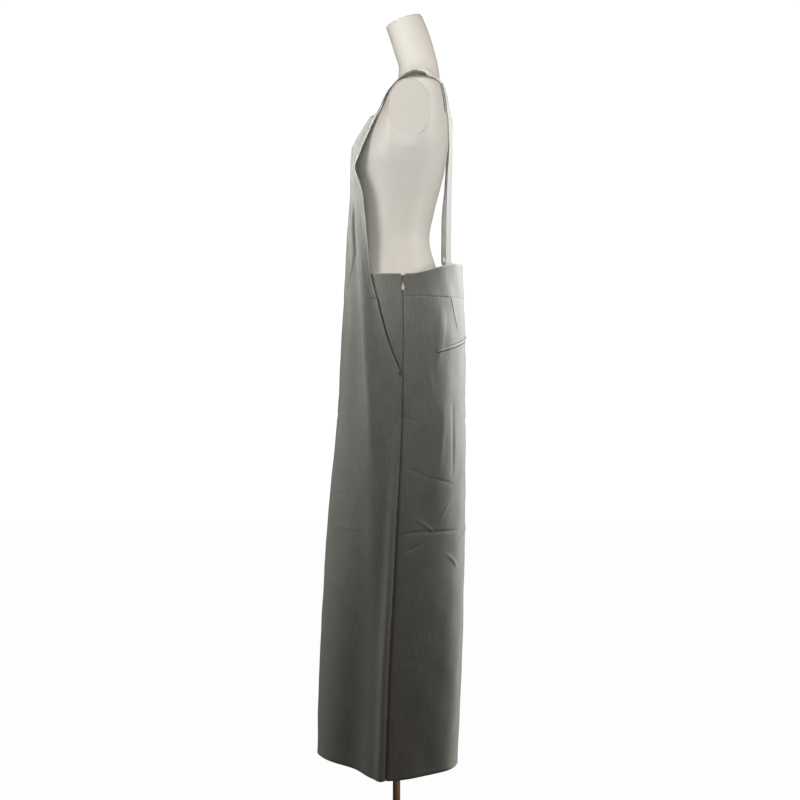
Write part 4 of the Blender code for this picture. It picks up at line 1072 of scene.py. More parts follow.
def make_side_front(side):
    """The hip panel follows the front's section. It lies 6 mm behind the pocket's mouth where the mouth is
    open, and 1 mm behind it where it is sewn shut."""
    z = np.linspace(POCKET_END_Z + 0.007, WAIST_SIDE_Z, 92)
    _, outer = section("front", side, z)
    mouth, total = edge_distance(outer, z), travelled(outer)[:, -1]
    opening = notch(z) if side > 0 else np.zeros(len(z))
    start = mouth - np.minimum(0.010, 0.4 * mouth)
    end = total - opening
    where = start[:, None] + (end - start)[:, None] * HIP_COLUMNS
    flat = at_distance(outer, where)
    grid = np.concatenate([flat, np.repeat(z[:, None], len(HIP_COLUMNS), 1)[:, :, None]], 2)
    s = total[:, None] - where
    past = where - mouth[:, None]
    open_there = (1 - smoothstep(1.106, 1.113, z))[:, None]
    slope = 0.0018 * (1 - smoothstep(0.0, 0.022, past))
    behind = slope + (0.0010 + 0.0054 * open_there) * (1 - smoothstep(0.0016, 0.0054, past))
    off_s, off_z = s - PULL_LINE_S, z[:, None] - PULL_LINE_Z
    across, along = off_s * 0.62 - off_z * 0.78, off_s * 0.78 + off_z * 0.62
    lift = 0.0011 * np.exp(-((across / 0.004) ** 2)) * np.exp(-((along / 0.012) ** 2))
    lift = lift - SEAM_DEPTH * np.exp(-((s / BAND_SEAM_WIDTH) ** 2)) - behind
    lift = lift + unevenness(z[:, None] + 0 * s, s, 21 + side) * 0.7 * smoothstep(0, ROUGH_FADE, s)
    return grid + outward(grid, side) * lift[:, :, None], s


for side, label in SIDES:
    grid, s = make_side_front(side)
    _, to_zip, _, above = edge_distances(grid)
    free = np.minimum(above, to_zip if side > 0 else FAR)
    add_cloth(
        "hip_panel_" + label, grid, side, pressed(free), cloth_uv(s, grid), 0.4 * rubbed_and_lit_edge(free, 0.003),
        replaces=["side_front_" + label],
    )

# %% Waistband
BAND_WALL = 0.0022


def back_top_z(y):
    """Top edge of the band: level at the sides and lifted at the centre back."""
    low_y, high_y = float(ring(WAIST_SIDE_Z, "side_y")), float(ring(WAIST_SIDE_Z, "back"))
    rise = smoothstep(0.1, 1.0, (y - low_y) / (high_y - low_y))
    return WAIST_SIDE_Z + (WAIST_BACK_Z - WAIST_SIDE_Z) * rise


def make_waistband():
    """From the left side seam round the back to the right one: each half of a section is read at even
    distances, with some more columns close to the seam."""
    share = np.linspace(0, 1, 22)
    z = BAND_SEAM_Z + (WAIST_SIDE_Z - BAND_SEAM_Z) * share
    halves = []
    for side in (1, -1):
        inner, outer = section("back", side, z)
        line = np.concatenate([inner[:, ::10], outer[:, 1:]], 1)
        opening = notch(z) if side > 0 else np.zeros(len(z))
        end = (travelled(line)[:, -1] - opening)[:, None]
        where = np.sort(np.concatenate([end * np.linspace(0, 1, 96), end - EDGE_COLUMNS[:5]], 1), 1)
        halves.append(at_distance(line, where))
    flat = np.concatenate([halves[0][:, ::-1], halves[1][:, 1:]], 1)
    level = BAND_SEAM_Z + (back_top_z(flat[:, :, 1]) - BAND_SEAM_Z) * share[:, None]
    grid = np.concatenate([flat, level[:, :, None]], 2)
    across = travelled(grid)
    lift = unevenness(grid[:, :, 2], across, 31) * 0.8
    lift = lift * smoothstep(0, ROUGH_FADE, across) * smoothstep(0, ROUGH_FADE, across[:, -1:] - across)
    to_seam = np.minimum(across, across[:, -1:] - across)
    lift = lift - SEAM_DEPTH * np.exp(-((to_seam / BAND_SEAM_WIDTH) ** 2))
    return grid + outward(grid, 1) * lift[:, :, None], across


grid, across = make_waistband()
_, _, _, above = edge_distances(grid)
piece = add_cloth(
    "waistband", grid, 1, BAND_WALL, cloth_uv(across, grid), 0.4 * rubbed_and_lit_edge(above, 0.003),
    replaces=["waistband_back"],
)
print("waistband faces:", len(piece.data.polygons))

# %% [markdown]
# ## Back straps and buttons
#
# Each back strap is a folded band, two layers thick, sewn on top of the shoulder strap's end and let into
# the waistband. A flat button sits on its inner face just above the band.

# %% Back straps
STRAP_WALL, STRAP_WIDTH = 0.0024, 0.030
STRAP_SHARES = np.linspace(-0.5, 0.5, 22)
SEWN_ROWS = 17  # of the shoulder's last rows lie under the strap's top
THREAD_ROOM = 0.0003  # for the stitches' heads between the two layers
STRAP_DISH = 0.0004  # along its middle the strap lies a little flatter than at its pressed edges
STRAP_COLUMNS = ("x", "y", "z", "face")  # its middle, and the way it faces: 0 degrees is straight back
BACK_STRAP = [
    (0.0810, 0.1130, 1.4920, 20.0),
    (0.0815, 0.1140, 1.4390, 16.0),
    (0.0835, 0.1120, 1.3760, 21.0),
    (0.0850, 0.1105, 1.3340, 22.0),
    (0.0880, 0.1095, 1.2815, 23.0),
    (0.0910, 0.1090, 1.2300, 23.0),
    (0.0925, 0.1088, 1.2000, 24.0),
]
STRAP = table(BACK_STRAP[::-1], STRAP_COLUMNS)
FAR_STRAP_IN = 0.0040  # the right strap hangs closer to the form, so it shows beside the left one
STRAP_BEND, BEHIND_BAND = 0.026, 0.0036  # it bends in over this height, to lie this deep behind the band


def strap_rows(side, z):
    """Middle, way across and way out of the strap at each height. Near the band it bends in behind it."""
    x, y, face = (smooth_between(z, STRAP["z"], STRAP[c]) for c in ("x", "y", "face"))
    if side < 0:
        y = y - FAR_STRAP_IN * smoothstep(1.192, 1.215, z) * (1 - smoothstep(1.30, 1.38, z))
    low = BACK_STRAP[-1][2]
    inner, outer = section("back", 1, np.minimum(z, WAIST_SIDE_Z))
    line = np.concatenate([inner, outer[:, 1:]], 1)
    i = np.argmin(np.abs(line[:, :, 0] - BACK_STRAP[-1][0] - 0.005), axis=1)
    rows = np.arange(len(z))
    run = line[rows, i + 1] - line[rows, i - 1]
    normal = np.stack([-run[:, 1], run[:, 0]], 1) / np.linalg.norm(run, axis=1, keepdims=True)
    goal = line[rows, i] - normal * BEHIND_BAND
    share = np.where(z < low, 1 - smoothstep(low - STRAP_BEND, low, z), 0.0)
    x, y = x + (goal[:, 0] - x) * share, y + (goal[:, 1] - y) * share
    face = face + (np.degrees(np.arctan2(normal[:, 0], normal[:, 1])) - face) * share
    turn = np.radians(face)
    zero = np.zeros(len(z))
    across = np.stack([side * np.cos(turn), -np.sin(turn), zero], 1)
    out = np.stack([side * np.sin(turn), np.cos(turn), zero], 1)
    return np.stack([side * x, y, z], 1), across, out


def make_back_strap(side):
    """The top lies on the shoulder's last rows, moved out by half of both walls. From there the band hangs
    down."""
    shoulder = fronts[side]
    under = outer_normals(shoulder, side)[-SEWN_ROWS:]
    raised = shoulder[-SEWN_ROWS:] + under * (CLOTH / 2 + SEAM_GAP + STRAP_WALL / 2 + THREAD_ROOM)
    width = travelled(raised)[:, -1:]
    top = at_distance(raised, width / 2 + np.minimum(STRAP_WIDTH, 0.94 * width) * STRAP_SHARES)
    z = np.concatenate([np.linspace(1.492, 1.20, 60), np.linspace(1.195, 1.150, 12)])
    middle, across, out = strap_rows(side, z)
    dish = -STRAP_DISH * (1 - (2 * STRAP_SHARES) ** 2)
    hanging = middle[:, None] + across[:, None] * (STRAP_WIDTH * STRAP_SHARES)[None, :, None]
    hanging = hanging + out[:, None] * dish[None, :, None]
    return np.concatenate([top, hanging])


straps = {}
for side, label in SIDES:
    grid = make_back_strap(side)
    straps[side] = grid
    left, right, _, _ = edge_distances(grid)
    edge = np.minimum(left, right)
    thickness = STRAP_WALL * (1 - 0.25 * (1 - smoothstep(0.0, 0.0025, edge)))
    add_cloth(
        "back_strap_band_" + label, grid, side, thickness, cloth_uv(left, grid), 0.5 * rubbed_and_lit_edge(edge, 0.003),
        replaces=["back_strap_" + label],
    )
print("straps:", straps[1].shape)

# %% [markdown]
# ## Seam allowances and the zip's tape
#
# A side seam is pressed open, so two narrow layers of cloth lie behind it. They close the line between the
# panels when light comes from behind. In the left seam the zip's tape does this. Its coil is two rows of
# small teeth, drawn twice as coarse as real ones, which would be too fine for the mesh.

# %% Seam allowances
ALLOWANCE = np.array([0.0080, 0.0055, 0.0030, 0.0012, 0.0])  # distances from the seam
ALLOWANCE_WALL = 0.0008


def seam_lines(side, z, distances):
    """Points on both sides of a side seam, from the front to the back, on the panels' own surfaces."""
    halves = []
    for panel in ("front", "back"):
        _, outer = section(panel, side, z)
        s = np.repeat(distances[None], len(z), 0)
        flat = at_distance(outer, travelled(outer)[:, -1:] - s)
        grid = np.concatenate([flat, hung(flat[:, :, 1], z)[:, :, None]], 2)
        lift = fold_lift(panel, side, grid[:, :, 2], s) + crease_lift(panel, side, grid[:, :, 2], s)
        halves.append(grid + outward(grid, side * -WAY[panel]) * lift[:, :, None])
    return np.concatenate([halves[0], halves[1][:, ::-1]], 1)


for side, label in SIDES:
    top_z = 1.024 if side > 0 else WAIST_SIDE_Z - 0.004  # on the left the zip's tape takes over
    grid = seam_lines(side, np.linspace(HEM_Z + 0.004, top_z, 150), ALLOWANCE)
    grid = grid - outward(grid, side) * (CLOTH / 2 + SEAM_DEPTH + 0.0004)
    add_cloth(
        "seam_allowance_" + label, grid, side, ALLOWANCE_WALL, cloth_uv(travelled(grid), grid), 0,
    )

# %% Zip tape and coil
ZIP_END_Z, TAPE_HALF_WIDTH, TAPE_WALL = 1.020, 0.010, 0.0006
TAPE_BEHIND = 0.0048  # how deep the tape lies behind the seam
TOOTH_PITCH, TOOTH_HEIGHT = 0.0024, 0.0009
TOOTH_ROW, TOOTH_ROW_WIDTH = 0.0010, 0.0008  # where each row of teeth lies beside the seam, and its width


def make_zip_tape():
    """A band behind the zip's edges: two soft rows of teeth rise from it as cos^2 along the band."""
    z = np.linspace(ZIP_END_Z, WAIST_SIDE_Z - 0.004, 300)
    front, back = section("front", 1, z)[1], section("back", 1, z)[1]
    line = np.concatenate([front, back[:, ::-1]], 1)
    offset = np.linspace(-TAPE_HALF_WIDTH, TAPE_HALF_WIDTH, 25)
    flat = at_distance(line, travelled(front)[:, -1:] + offset[None])
    grid = np.concatenate([flat, np.repeat(z[:, None], len(offset), 1)[:, :, None]], 2)
    teeth = np.cos(math.pi * z[:, None] / TOOTH_PITCH) ** 2
    rows = np.exp(-(((np.abs(offset) - TOOTH_ROW) / TOOTH_ROW_WIDTH) ** 2))[None]
    return grid - outward(grid, 1) * (TAPE_BEHIND - TOOTH_HEIGHT * rows * (0.4 + 0.6 * teeth))[:, :, None]


grid = make_zip_tape()
add_cloth(
    "woven_zip_tape", grid, 1, TAPE_WALL, cloth_uv(travelled(grid), grid), 0,
    tape_cloth, ["zip_tape"],
)

# %% [markdown]
# ## Welt pockets, tacks and stitches
#
# Each back pocket is a slit with one stiffened welt: a doubled strip 6 mm high whose lower edge is sewn into
# the slit. Both ends are closed with a bar tack, which is a row of dense zigzag stitches. Stitches are small
# capsules, all worked out at once and joined in one mesh for each piece.

# %% Places on a finished panel
STITCH_RINGS = 6  # rings of a stitch, and points of each ring
TACK_PITCH, TACK_ASKEW = 0.00075, 0.16
SEAM_STITCH = {"length": 0.0021, "radius": 0.00022}
SEAM_PITCH = 0.0030


def patch(grid, s, z):
    """Points of a panel at distances s from the side seam, one for each column, and at the heights z, which
    has a row for each line of points."""
    lines = at_distance(grid, travelled(grid)[:, -1:] - s[None]).transpose(1, 0, 2)
    where = np.stack([distance_where(lines, lines[:, :, 2], goal) for goal in z], 1)
    return at_distance(lines, where).transpose(1, 0, 2)


def stitches(name, points, along, out, length, radius):
    """Capsules at the points: rings with radius sin(t)^0.6 lie along each stitch, which arches outwards as
    1-x^2. All are computed at once, from one capsule's points and each stitch's three axes."""
    sides = np.linspace(0, 2 * math.pi, STITCH_RINGS, endpoint=False)
    t = np.linspace(0.12, 0.88, STITCH_RINGS) * math.pi
    along = along / np.linalg.norm(along, axis=1, keepdims=True)
    out = out - along * (out * along).sum(1, keepdims=True)
    out = out / np.linalg.norm(out, axis=1, keepdims=True)
    beside = np.cross(along, out)
    run = -np.cos(t) * length / 2
    rise = radius * 0.9 * (1 - np.cos(t) ** 2)
    wide = radius * np.sin(t) ** 0.6
    local = np.stack([
        np.repeat(run[:, None], STITCH_RINGS, 1),
        rise[:, None] + wide[:, None] * np.sin(sides)[None],
        wide[:, None] * np.cos(sides)[None],
    ], 2).reshape(-1, 3)
    axes = np.stack([along, out, beside], 1)
    made = points[:, None] + np.einsum("pk,nkj->npj", local, axes)
    index = np.arange(STITCH_RINGS**2).reshape(STITCH_RINGS, STITCH_RINGS)
    turned = np.roll(index, -1, 1)
    quads = np.stack([index[:-1], index[1:], turned[1:], turned[:-1]], 2).reshape(-1, 4)
    ends = [index[0].tolist(), index[-1, ::-1].tolist()]
    first = index.size * np.arange(len(points))
    faces = (quads[None] + first[:, None, None]).reshape(-1, 4).tolist()
    faces += [[i + int(k) for i in end] for k in first for end in ends]
    mesh = bpy.data.meshes.new(name)
    mesh.from_pydata(made.reshape(-1, 3).tolist(), [], faces)
    mesh.shade_smooth()
    return add_piece(name, mesh, thread)


def stitch_row(line, out, pitch):
    """Points every pitch along a line of points, with the way along and the way out there."""
    where = np.arange(pitch / 2, travelled(line[None])[0, -1], pitch)[None]
    way = np.gradient(line, axis=0)
    spots = at_distance(line[None], where)[0]
    return spots, at_distance(line[None], where, way[None])[0], at_distance(line[None], where, out[None])[0]


def bar_tack(name, start, end, out, height=0.0022, radius=0.00036):
    """A bar of stitches that cross a line, each a little askew from the last."""
    way = end - start
    count = int(np.linalg.norm(way) / TACK_PITCH)
    share = ((np.arange(count) + 0.5) / count)[:, None]
    out = np.repeat(out[None], count, 0)
    run = way[None] / np.linalg.norm(way)
    askew = np.where(np.arange(count) % 2, TACK_ASKEW, -TACK_ASKEW)[:, None] * run
    return stitches(name, start + way * share, np.cross(out, run) + askew, out, height, radius)


# %% Back pocket welts
WELT_FROM_SEAM, WELT_Z, WELT_HEIGHT = (0.071, 0.202), (1.0025, 1.0335), 0.0064
WELT_WALL, SLIT_WALL = 0.0012, 0.0005
ACROSS = np.linspace(-0.5, 0.5, 12)
# The sewn lower edge dives into the slit, and the free upper edge stands a little off the panel.
WELT_STAND = 0.0008 + 0.0005 * smoothstep(-0.5, 0.5, ACROSS) - 0.0009 * (1 - smoothstep(-0.5, -0.3, ACROSS))
SLIT_ABOVE, SLIT_BELOW = 0.0045, 0.0041  # how far the dark slit reaches from the welt's middle


def along_welt(side, heights):
    """Points of the back panel along the welt's slanted line, at heights above and below it."""
    along = np.linspace(0, 1, 72)
    where = WELT_FROM_SEAM[0] + (WELT_FROM_SEAM[1] - WELT_FROM_SEAM[0]) * along
    middle = WELT_Z[0] + (WELT_Z[1] - WELT_Z[0]) * along
    return patch(backs[side], where, middle[None] + heights[:, None])


for side, label in SIDES:
    welt = along_welt(side, WELT_HEIGHT * ACROSS)
    welt = welt + outward(welt, side) * WELT_STAND[:, None, None]
    uv = np.stack([travelled(welt), np.zeros(welt.shape[:2]) + ACROSS[:, None] * WELT_HEIGHT], 2)
    # The whole welt is drawn a quarter of the way pale: partly wear of the pressed strip, partly a painted
    # highlight on its face.
    add_cloth(
        "pocket_welt_" + label, welt, side, WELT_WALL, uv, 0.25,
        replaces=["back_welt_" + label],
    )
    # The pocketing that shows in the slit, just above and below the welt, is coloured near black to stand
    # for the shadow in the slit: painted shadow.
    slit = along_welt(side, np.linspace(-SLIT_BELOW, SLIT_ABOVE, 6))
    slit = slit + outward(slit, side) * (CLOTH / 2 + SEAM_GAP)
    add_cloth(
        "pocket_slit_" + label, slit, side, SLIT_WALL, cloth_uv(travelled(slit), slit), 0,
        slit_shade_pocketing,
    )
    out = outward(welt, side)
    for place, column in (("front", 0), ("rear", -1)):
        low, high = (welt[row, column] + out[row, column] * 0.0008 for row in (0, -1))
        bar_tack(f"welt_tack_{place}_{label}", low, high, out[6, column])
print("welts:", welt.shape)

# %% Tacks and the sewn slit of the side pockets
HIGH_TACK_Z, HIGH_TACK = 1.113, (0.0125, 0.0005)  # a level bar, and how far inside the edge its ends lie
LOW_TACK_Z, LOW_TACK_IN = (0.951, 0.961), 0.0015  # a bar along the edge
SHUT_Z, SHUT_IN = (1.114, 1.162), 0.0115  # stitches between these heights keep the slit shut
ABOVE_CLOTH = 0.0012


def edge_point(leg, out, z, inside):
    """A point of the front, and its way out, at a height and at a distance inside its free edge."""
    row = int(np.argmin(np.abs(leg[:, -1, 2] - z)))
    line = leg[row : row + 1]
    where = travelled(line)[:, -1:] - inside
    return at_distance(line, where)[0, 0], at_distance(line, where, out[row : row + 1])[0, 0]


for side, label in SIDES:
    leg = fronts[side][: len(LEG_Z) + len(BIB_Z)]
    out = outward(leg, side)
    inner, way = edge_point(leg, out, HIGH_TACK_Z, HIGH_TACK[0])
    outer, _ = edge_point(leg, out, HIGH_TACK_Z, HIGH_TACK[1])
    bar_tack("pocket_tack_high_" + label, inner + way * ABOVE_CLOTH, outer + way * ABOVE_CLOTH, way, 0.0028)
    low, way = edge_point(leg, out, LOW_TACK_Z[0], LOW_TACK_IN)
    high, _ = edge_point(leg, out, LOW_TACK_Z[1], LOW_TACK_IN)
    bar_tack("pocket_tack_low_" + label, low + way * ABOVE_CLOTH, high + way * ABOVE_CLOTH, way, 0.0030)
    rows = (leg[:, -1, 2] > SHUT_Z[0]) & (leg[:, -1, 2] < SHUT_Z[1])
    where = travelled(leg)[rows][:, -1:] - SHUT_IN
    line = at_distance(leg[rows], where)[:, 0]
    ways = at_distance(leg[rows], where, out[rows])[:, 0]
    spots, run, ways = stitch_row(line, ways, SEAM_PITCH)
    stitches("pocket_slit_stitches_" + label, spots + ways * (CLOTH / 2), run, ways, **SEAM_STITCH)

# %% Stitches that hold the back straps
for side, label in SIDES:
    grid = straps[side][1:16]
    out = outer_normals(grid, side)
    box = [np.s_[0, 2:-2], np.s_[-1, 2:-2], np.s_[1:-1, 2], np.s_[1:-1, -3]]  # its four sides
    parts = [stitch_row(grid[line], out[line], SEAM_PITCH) for line in box]
    spots, run, away = (np.concatenate(values) for values in zip(*parts))
    stitches("strap_box_stitches_" + label, spots + away * STRAP_WALL / 2, run, away, **SEAM_STITCH)

# %% [markdown]
# ## Turned and rounded small parts
#
# Buttons, the stand and the form's arm covers are all turned shapes: a profile of radius and height, swept
# round an axis. The zip's pull is a stack of small superellipses. It hangs from the slider and is the one
# piece that moves.

# %% Turned pieces
def turned(name, profile, centre, axis, finish, slot, segments=96, stretch=(1.0, 1.0), replaces=()):
    """The profile's points (radius, height) swept round an axis; stretch makes the rings oval."""
    profile = np.array(profile, float)
    axis = Vector(axis).normalized()
    beside = Vector((0, 1, 0)) if abs(axis.y) < 0.9 else Vector((1, 0, 0))
    beside = (beside - axis * beside.dot(axis)).normalized()
    third = axis.cross(beside)
    angle = np.linspace(0, 2 * math.pi, segments, endpoint=False)
    grid = (
        np.array(centre, float)
        + profile[:, :1, None] * np.cos(angle)[None, :, None] * np.array(beside) * stretch[0]
        + profile[:, :1, None] * np.sin(angle)[None, :, None] * np.array(third) * stretch[1]
        + profile[:, 1:, None] * np.array(axis)
    )
    mesh = closed_grid_mesh(name, grid)
    return add_piece(name, mesh, finish, replaces=list(replaces))


def rounded_corner(radius, height, size, start, end, steps=6):
    """Points of an arc of a profile, from one angle to another in degrees, round (radius, height)."""
    angle = np.radians(np.linspace(start, end, steps))
    return [(radius + size * math.cos(a), height + size * math.sin(a)) for a in angle]


# %% Stand
BASE_RADIUS, POLE_RADIUS, SOCKET_RADIUS = 0.145, 0.008, 0.018
base_profile = [
    *rounded_corner(BASE_RADIUS - 0.0015, 0.0015, 0.0015, -90, 0),
    *rounded_corner(BASE_RADIUS - 0.0020, 0.0040, 0.0020, 0, 80),
    (0.060, 0.0062), (0.024, 0.0063), (0.002, 0.0063),
]
STAND = {"centre": (0, 0, 0), "axis": (0, 0, 1), "finish": bronzed, "slot": "bronzed_steel"}
turned("weighted_base", base_profile, **STAND, segments=160, replaces=["base_plate"])
socket_profile = [
    (0.0170, 0.0064),
    *rounded_corner(SOCKET_RADIUS - 0.0010, 0.0076, 0.0010, -60, 0, 4),
    *rounded_corner(SOCKET_RADIUS - 0.0012, 0.0190, 0.0012, 0, 45, 4),
    *rounded_corner(0.0120, 0.0268, 0.0014, 30, 90, 5),
    (0.0084, 0.0282),
]
turned("pole_collar", socket_profile, **STAND, segments=72, replaces=["pole_socket"])
pole_profile = [(POLE_RADIUS, z) for z in np.linspace(0.0286, 0.9596, 24)]
turned("stand_pole", pole_profile, **STAND, segments=48, replaces=["pole"])
turned(
    "collar_screw", [(0.0030, 0.0), (0.0030, 0.0042), (0.0026, 0.0048), (0.0012, 0.0049), (0.0011, 0.0030)],
    (0.0170, 0.0, 0.0150), (1, 0, 0), bronzed, "bronzed_steel", 32,
)

# %% Arm covers
# A shallow dome, whose edge thins out over the outer fifth of its radius.
DOME_HEIGHT = 0.0012
COVER_Y, COVER_Z, COVER_TILT = 0.027, 1.504, 0.024
COVER_SIZE = (0.088, 0.122)  # the oval's width and height
dome_radius = np.linspace(0.5, 0.004, 60)
dome = DOME_HEIGHT * np.sqrt(1 - np.clip((dome_radius - 0.40) / 0.10, 0, 1) ** 2)
dome_profile = [(0.49, -0.0006), *zip(dome_radius, dome)]
for side, label in SIDES:
    turned(
        "arm_cover_" + label, dome_profile, (side * (ARM_CUT_X - 0.0003), COVER_Y, COVER_Z),
        (side, 0, -COVER_TILT), form_paint, "form_skin", 128, COVER_SIZE, ["arm_plate_" + label],
    )

# %% Buttons
BUTTON_Z = 1.2105
BUTTON_STAND = 0.0016  # of the button's middle off the strap, on its shank of thread
button_profile = [
    (0.0050, 0.0000), (0.0068, 0.0003), (0.0074, 0.0009), (0.0075, 0.0015), (0.0072, 0.0022),
    (0.0065, 0.0026), (0.0058, 0.0024), (0.0052, 0.0018), (0.0040, 0.0017), (0.0002, 0.0017),
]
shank_profile = [(0.0012, -0.0018), (0.0009, -0.0010), (0.0009, 0.0004), (0.0012, 0.0012)]
for side, label in SIDES:
    middle, across, out = (v[0] for v in strap_rows(side, np.array([BUTTON_Z])))
    centre = middle - out * (STRAP_WALL / 2 + BUTTON_STAND)
    turned(
        "button_" + label, button_profile, centre, -out, horn, "horn", 64,
        replaces=["strap_button_" + label],
    )
    turned("button_shank_" + label, shank_profile, centre, -out, thread, "suiting", 20)
    # Two strands of thread cross the button's face, one above the other.
    up = np.array([0.0, 0.0, 1.0])
    spots = np.array([centre - out * 0.0017 + up * dz for dz in (0.0011, -0.0011)])
    both = np.ones((2, 1))
    stitches("button_thread_" + label, spots, across * both, -out * both, 0.0032, 0.00035)

# %% Pull of the zip
PULL_COLUMNS = ("z", "half_y", "half_x")
PULL = [
    (0.0010, 0.0007, 0.00025), (0.0007, 0.0010, 0.00065), (0.0000, 0.0010, 0.00088),
    (-0.0007, 0.0010, 0.00065), (-0.0014, 0.0010, 0.00045), (-0.0028, 0.0010, 0.00042),
    (-0.0055, 0.0015, 0.00042), (-0.0095, 0.0025, 0.00045), (-0.0130, 0.0031, 0.00045),
    (-0.0160, 0.0027, 0.00042), (-0.0178, 0.0015, 0.00036), (-0.0184, 0.0005, 0.00015),
]
SLIDER_Z, PULL_OUT, BAND_THICKNESS = 1.1465, 0.0035, 0.0024
PULL_RINGS, PULL_POINTS = 70, 28


def make_pull():
    """Rings x = a sin^0.7, y = b cos^0.8, whose corners are soft squares, at heights read from the table at
    even steps. The stack is then leaned about the hinge as the hip leans there."""
    data = table(PULL[::-1], PULL_COLUMNS)
    z = smooth_between(np.linspace(0, len(PULL) - 1, PULL_RINGS), range(len(PULL)), data["z"])
    half_y, half_x = (smooth_between(z, data["z"], data[c])[:, None] for c in PULL_COLUMNS[1:])
    angle = np.linspace(0, 2 * math.pi, PULL_POINTS, endpoint=False)[None]
    x = half_x * np.sign(np.sin(angle)) * np.abs(np.sin(angle)) ** 0.7
    y = -half_y * np.sign(np.cos(angle)) * np.abs(np.cos(angle)) ** 0.8
    spread = float(ring(SLIDER_Z - 0.02, "side_x") - ring(SLIDER_Z, "side_x"))
    lean = -math.atan2(spread, 0.02)
    hinge_x = float(ring(SLIDER_Z, "side_x")) + (BAND_THICKNESS / 2 + PULL_OUT) * math.cos(lean)
    level = np.repeat(z[:, None], PULL_POINTS, 1)
    out_x = x * math.cos(lean) + level * math.sin(lean) + hinge_x
    out_z = -x * math.sin(lean) + level * math.cos(lean) + SLIDER_Z
    return np.stack([out_x, y + float(ring(SLIDER_Z, "side_y")), out_z], 2)


mesh = closed_grid_mesh("teardrop_pull", make_pull()[:, ::-1])
add_piece("teardrop_pull", mesh, pull_metal, body="pull", replaces=["zip_pull"])
# The slider's own solid is fine enough to be seen, so it only gets its finish.
slider = bpy.data.objects["zip_slider"]
slider.data.materials.clear()
slider.data.materials.append(zip_metal)
print("the pull has", len(mesh.vertices), "points and hangs", round(-PULL[-1][0] * 1000, 1), "mm down")

# %% [markdown]
# ## Stage: floor, light and world
#
# The photograph has a white cove, bright from behind, with soft light from high up on all sides, so the
# garment darkens towards the hem and its outlines glow. Most lamps stand at the height of the shoulders.
# The floor and the air are seen white by the camera, but light the cloth less than they seem to, which
# keeps that fall of light.

# %% Floor
FLOOR_HALF = 9.0
corners = np.array([(-1, -1, 0), (1, -1, 0), (1, 1, 0), (-1, 1, 0)]) * FLOOR_HALF
floor_mesh = new_mesh("floor", corners, np.array([(0, 1, 2, 3)]))
floor = bpy.data.objects.new("floor", floor_mesh)
bpy.context.scene.collection.objects.link(floor)
floor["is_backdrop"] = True
cove, tree, shader = new_material("painted_cove_floor", Roughness=0.9)
shader.inputs["Base Color"].default_value = linear("#3E3E3D")
seen = add_node(tree, "ShaderNodeLightPath").outputs["Is Camera Ray"]
glow = add_node(tree, "ShaderNodeEmission", {"Color": (1, 1, 1, 1), "Strength": 1.0})
share = add_node(tree, "ShaderNodeMath", {0: seen, 1: 0.985}, operation="MULTIPLY")
mixed = add_node(
    tree, "ShaderNodeMixShader", {0: share.outputs[0], 1: shader.outputs[0], 2: glow.outputs[0]}
)
tree.links.new(mixed.outputs[0], tree.nodes["Material Output"].inputs["Surface"])
floor_mesh.materials.append(cove)

# %% World
world = bpy.data.worlds.new("white_studio")
bpy.context.scene.world = world
world.use_nodes = True
tree = world.node_tree
backdrop = tree.nodes["Background"]
seen = add_node(tree, "ShaderNodeLightPath").outputs["Is Camera Ray"]
strength = add_node(
    tree, "ShaderNodeMapRange", {"Value": seen, "To Min": 0.076, "To Max": 1.05}
)
tree.links.new(strength.outputs[0], backdrop.inputs["Strength"])
# The air in the room is lit by a wooden floor farther off, so it is warm wherever the lamps don't reach.
air = add_node(tree, "ShaderNodeMixRGB", {"Fac": seen, "Color1": linear("#FFB67A"), "Color2": (1, 1, 1, 1)})
tree.links.new(air.outputs["Color"], backdrop.inputs["Color"])


# %% Softboxes, and what each one lights
def softbox(name, place, target, width, height, power, spread=180, lights_only=None, no_shadow_of=()):
    """A rectangular light at a place, turned to look at its target. lights_only holds the only pieces that
    it lights, and pieces in no_shadow_of don't stand in its way."""
    data = bpy.data.lights.new(name, "AREA")
    data.shape = "RECTANGLE"
    data.size = width
    data.size_y = height
    data.energy = power
    data.spread = math.radians(spread)
    made = bpy.data.objects.new(name, data)
    made.location = place
    made.rotation_euler = (Vector(target) - Vector(place)).to_track_quat("-Z", "Y").to_euler()
    made.visible_camera = False
    bpy.context.scene.collection.objects.link(made)
    if lights_only:
        made.light_linking.receiver_collection = lights_only
    if no_shadow_of:
        blockers = bpy.data.collections.new(name + "_blockers")
        for piece in bpy.data.objects:
            if piece.type == "MESH" and piece not in no_shadow_of:
                blockers.objects.link(piece)
        made.light_linking.blocker_collection = blockers
    return made


def lit_pieces(name, pieces):
    """A collection of the only pieces that a light is for."""
    made = bpy.data.collections.new(name)
    for piece in pieces:
        made.objects.link(piece)
    return made


def named(*starts):
    """The pieces whose names start with one of these words."""
    return [o for o in bpy.data.objects if o.type == "MESH" and o.name.startswith(starts)]


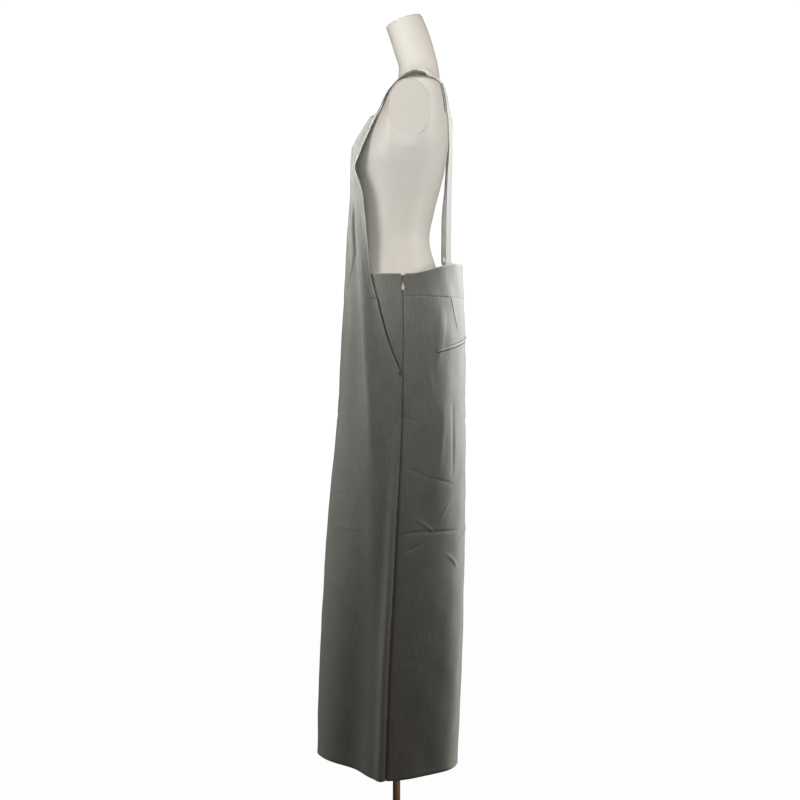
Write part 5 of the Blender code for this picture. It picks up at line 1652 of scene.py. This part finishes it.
# In a studio, flags keep strong side lights off a pale form, and small reflectors open up dark places. Light
# linking does both here: a light that names a collection lights only the pieces in it.
sewn = {suiting, thread, tape_cloth}
cloth_pieces = lit_pieces("lit_by_side_lights", [o for o in named("") if sewn & set(o.data.materials)])
pale_pieces = lit_pieces("lit_by_the_neck_light", [form])
form_pieces = lit_pieces("lit_by_the_gap_light", [form, *named("arm_cover")])
stand = named("stand_pole", "pole_collar", "collar_screw", "weighted_base")
stand_pieces = lit_pieces("lit_by_the_low_lamp", stand)
far_pieces = lit_pieces("lit_by_the_strap_light", named("back_strap_band_right", "button_right"))
strap_pieces = named("back_strap_band", "strap_box", "button")
front_pieces = named("front_panel")

# %% Lights
# Soft light on the wearer's left, where the camera is, and on the right, for views from there.
softbox("key", (1.30, 0.10, 1.62), (0.0, 0.0, 1.44), 0.6, 0.6, 5.6)
softbox("other_side", (-1.30, 0.10, 1.62), (0.0, 0.0, 1.44), 0.6, 0.6, 5.0)
# In front and behind. The thin straps would cast hard stripes on the back, so they let this light through.
softbox("front_fill", (0.80, -1.15, 1.52), (0.0, 0.0, 1.34), 0.8, 0.8, 8.0)
softbox("back_fill", (0.35, 1.38, 1.52), (0.0, 0.0, 1.34), 0.9, 0.9, 12.0, no_shadow_of=strap_pieces)
# These make the cloth's front and back outlines glow, and flags keep them off the form.
softbox("front_side", (-0.15, -1.30, 1.50), (0.0, 0.0, 1.35), 0.8, 0.8, 12.0, 180, cloth_pieces)
softbox("back_rim", (-0.60, 1.22, 1.60), (0.0, 0.05, 1.40), 0.8, 0.8, 60.0, 180, cloth_pieces)
softbox("chest_light", (0.30, -0.85, 1.60), (0.08, -0.06, 1.46), 0.25, 0.25, 1.5, 50, cloth_pieces)
# Small reflectors are for the neck, for the form beside the bib, for the far strap and for the stand.
softbox("neck_light", (0.75, -0.40, 1.90), (0.0, 0.0, 1.70), 0.3, 0.3, 0.13, 40, pale_pieces)
softbox("gap_light", (0.90, -0.90, 1.50), (0.08, -0.06, 1.38), 0.4, 0.4, 0.7, 120, form_pieces, front_pieces)
softbox("strap_light", (0.90, 0.45, 1.45), (-0.08, 0.11, 1.34), 0.2, 0.2, 4.5, 40, far_pieces, strap_pieces)
softbox("low_lamp", (0.90, 0.80, 0.22), (0.0, 0.0, 0.10), 0.3, 0.3, 0.6, 90, stand_pieces)
bpy.context.scene.view_settings.view_transform = "Standard"

# %% Sizes
low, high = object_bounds()
print("visual box", [round(v, 4) for v in (*low, *high)])
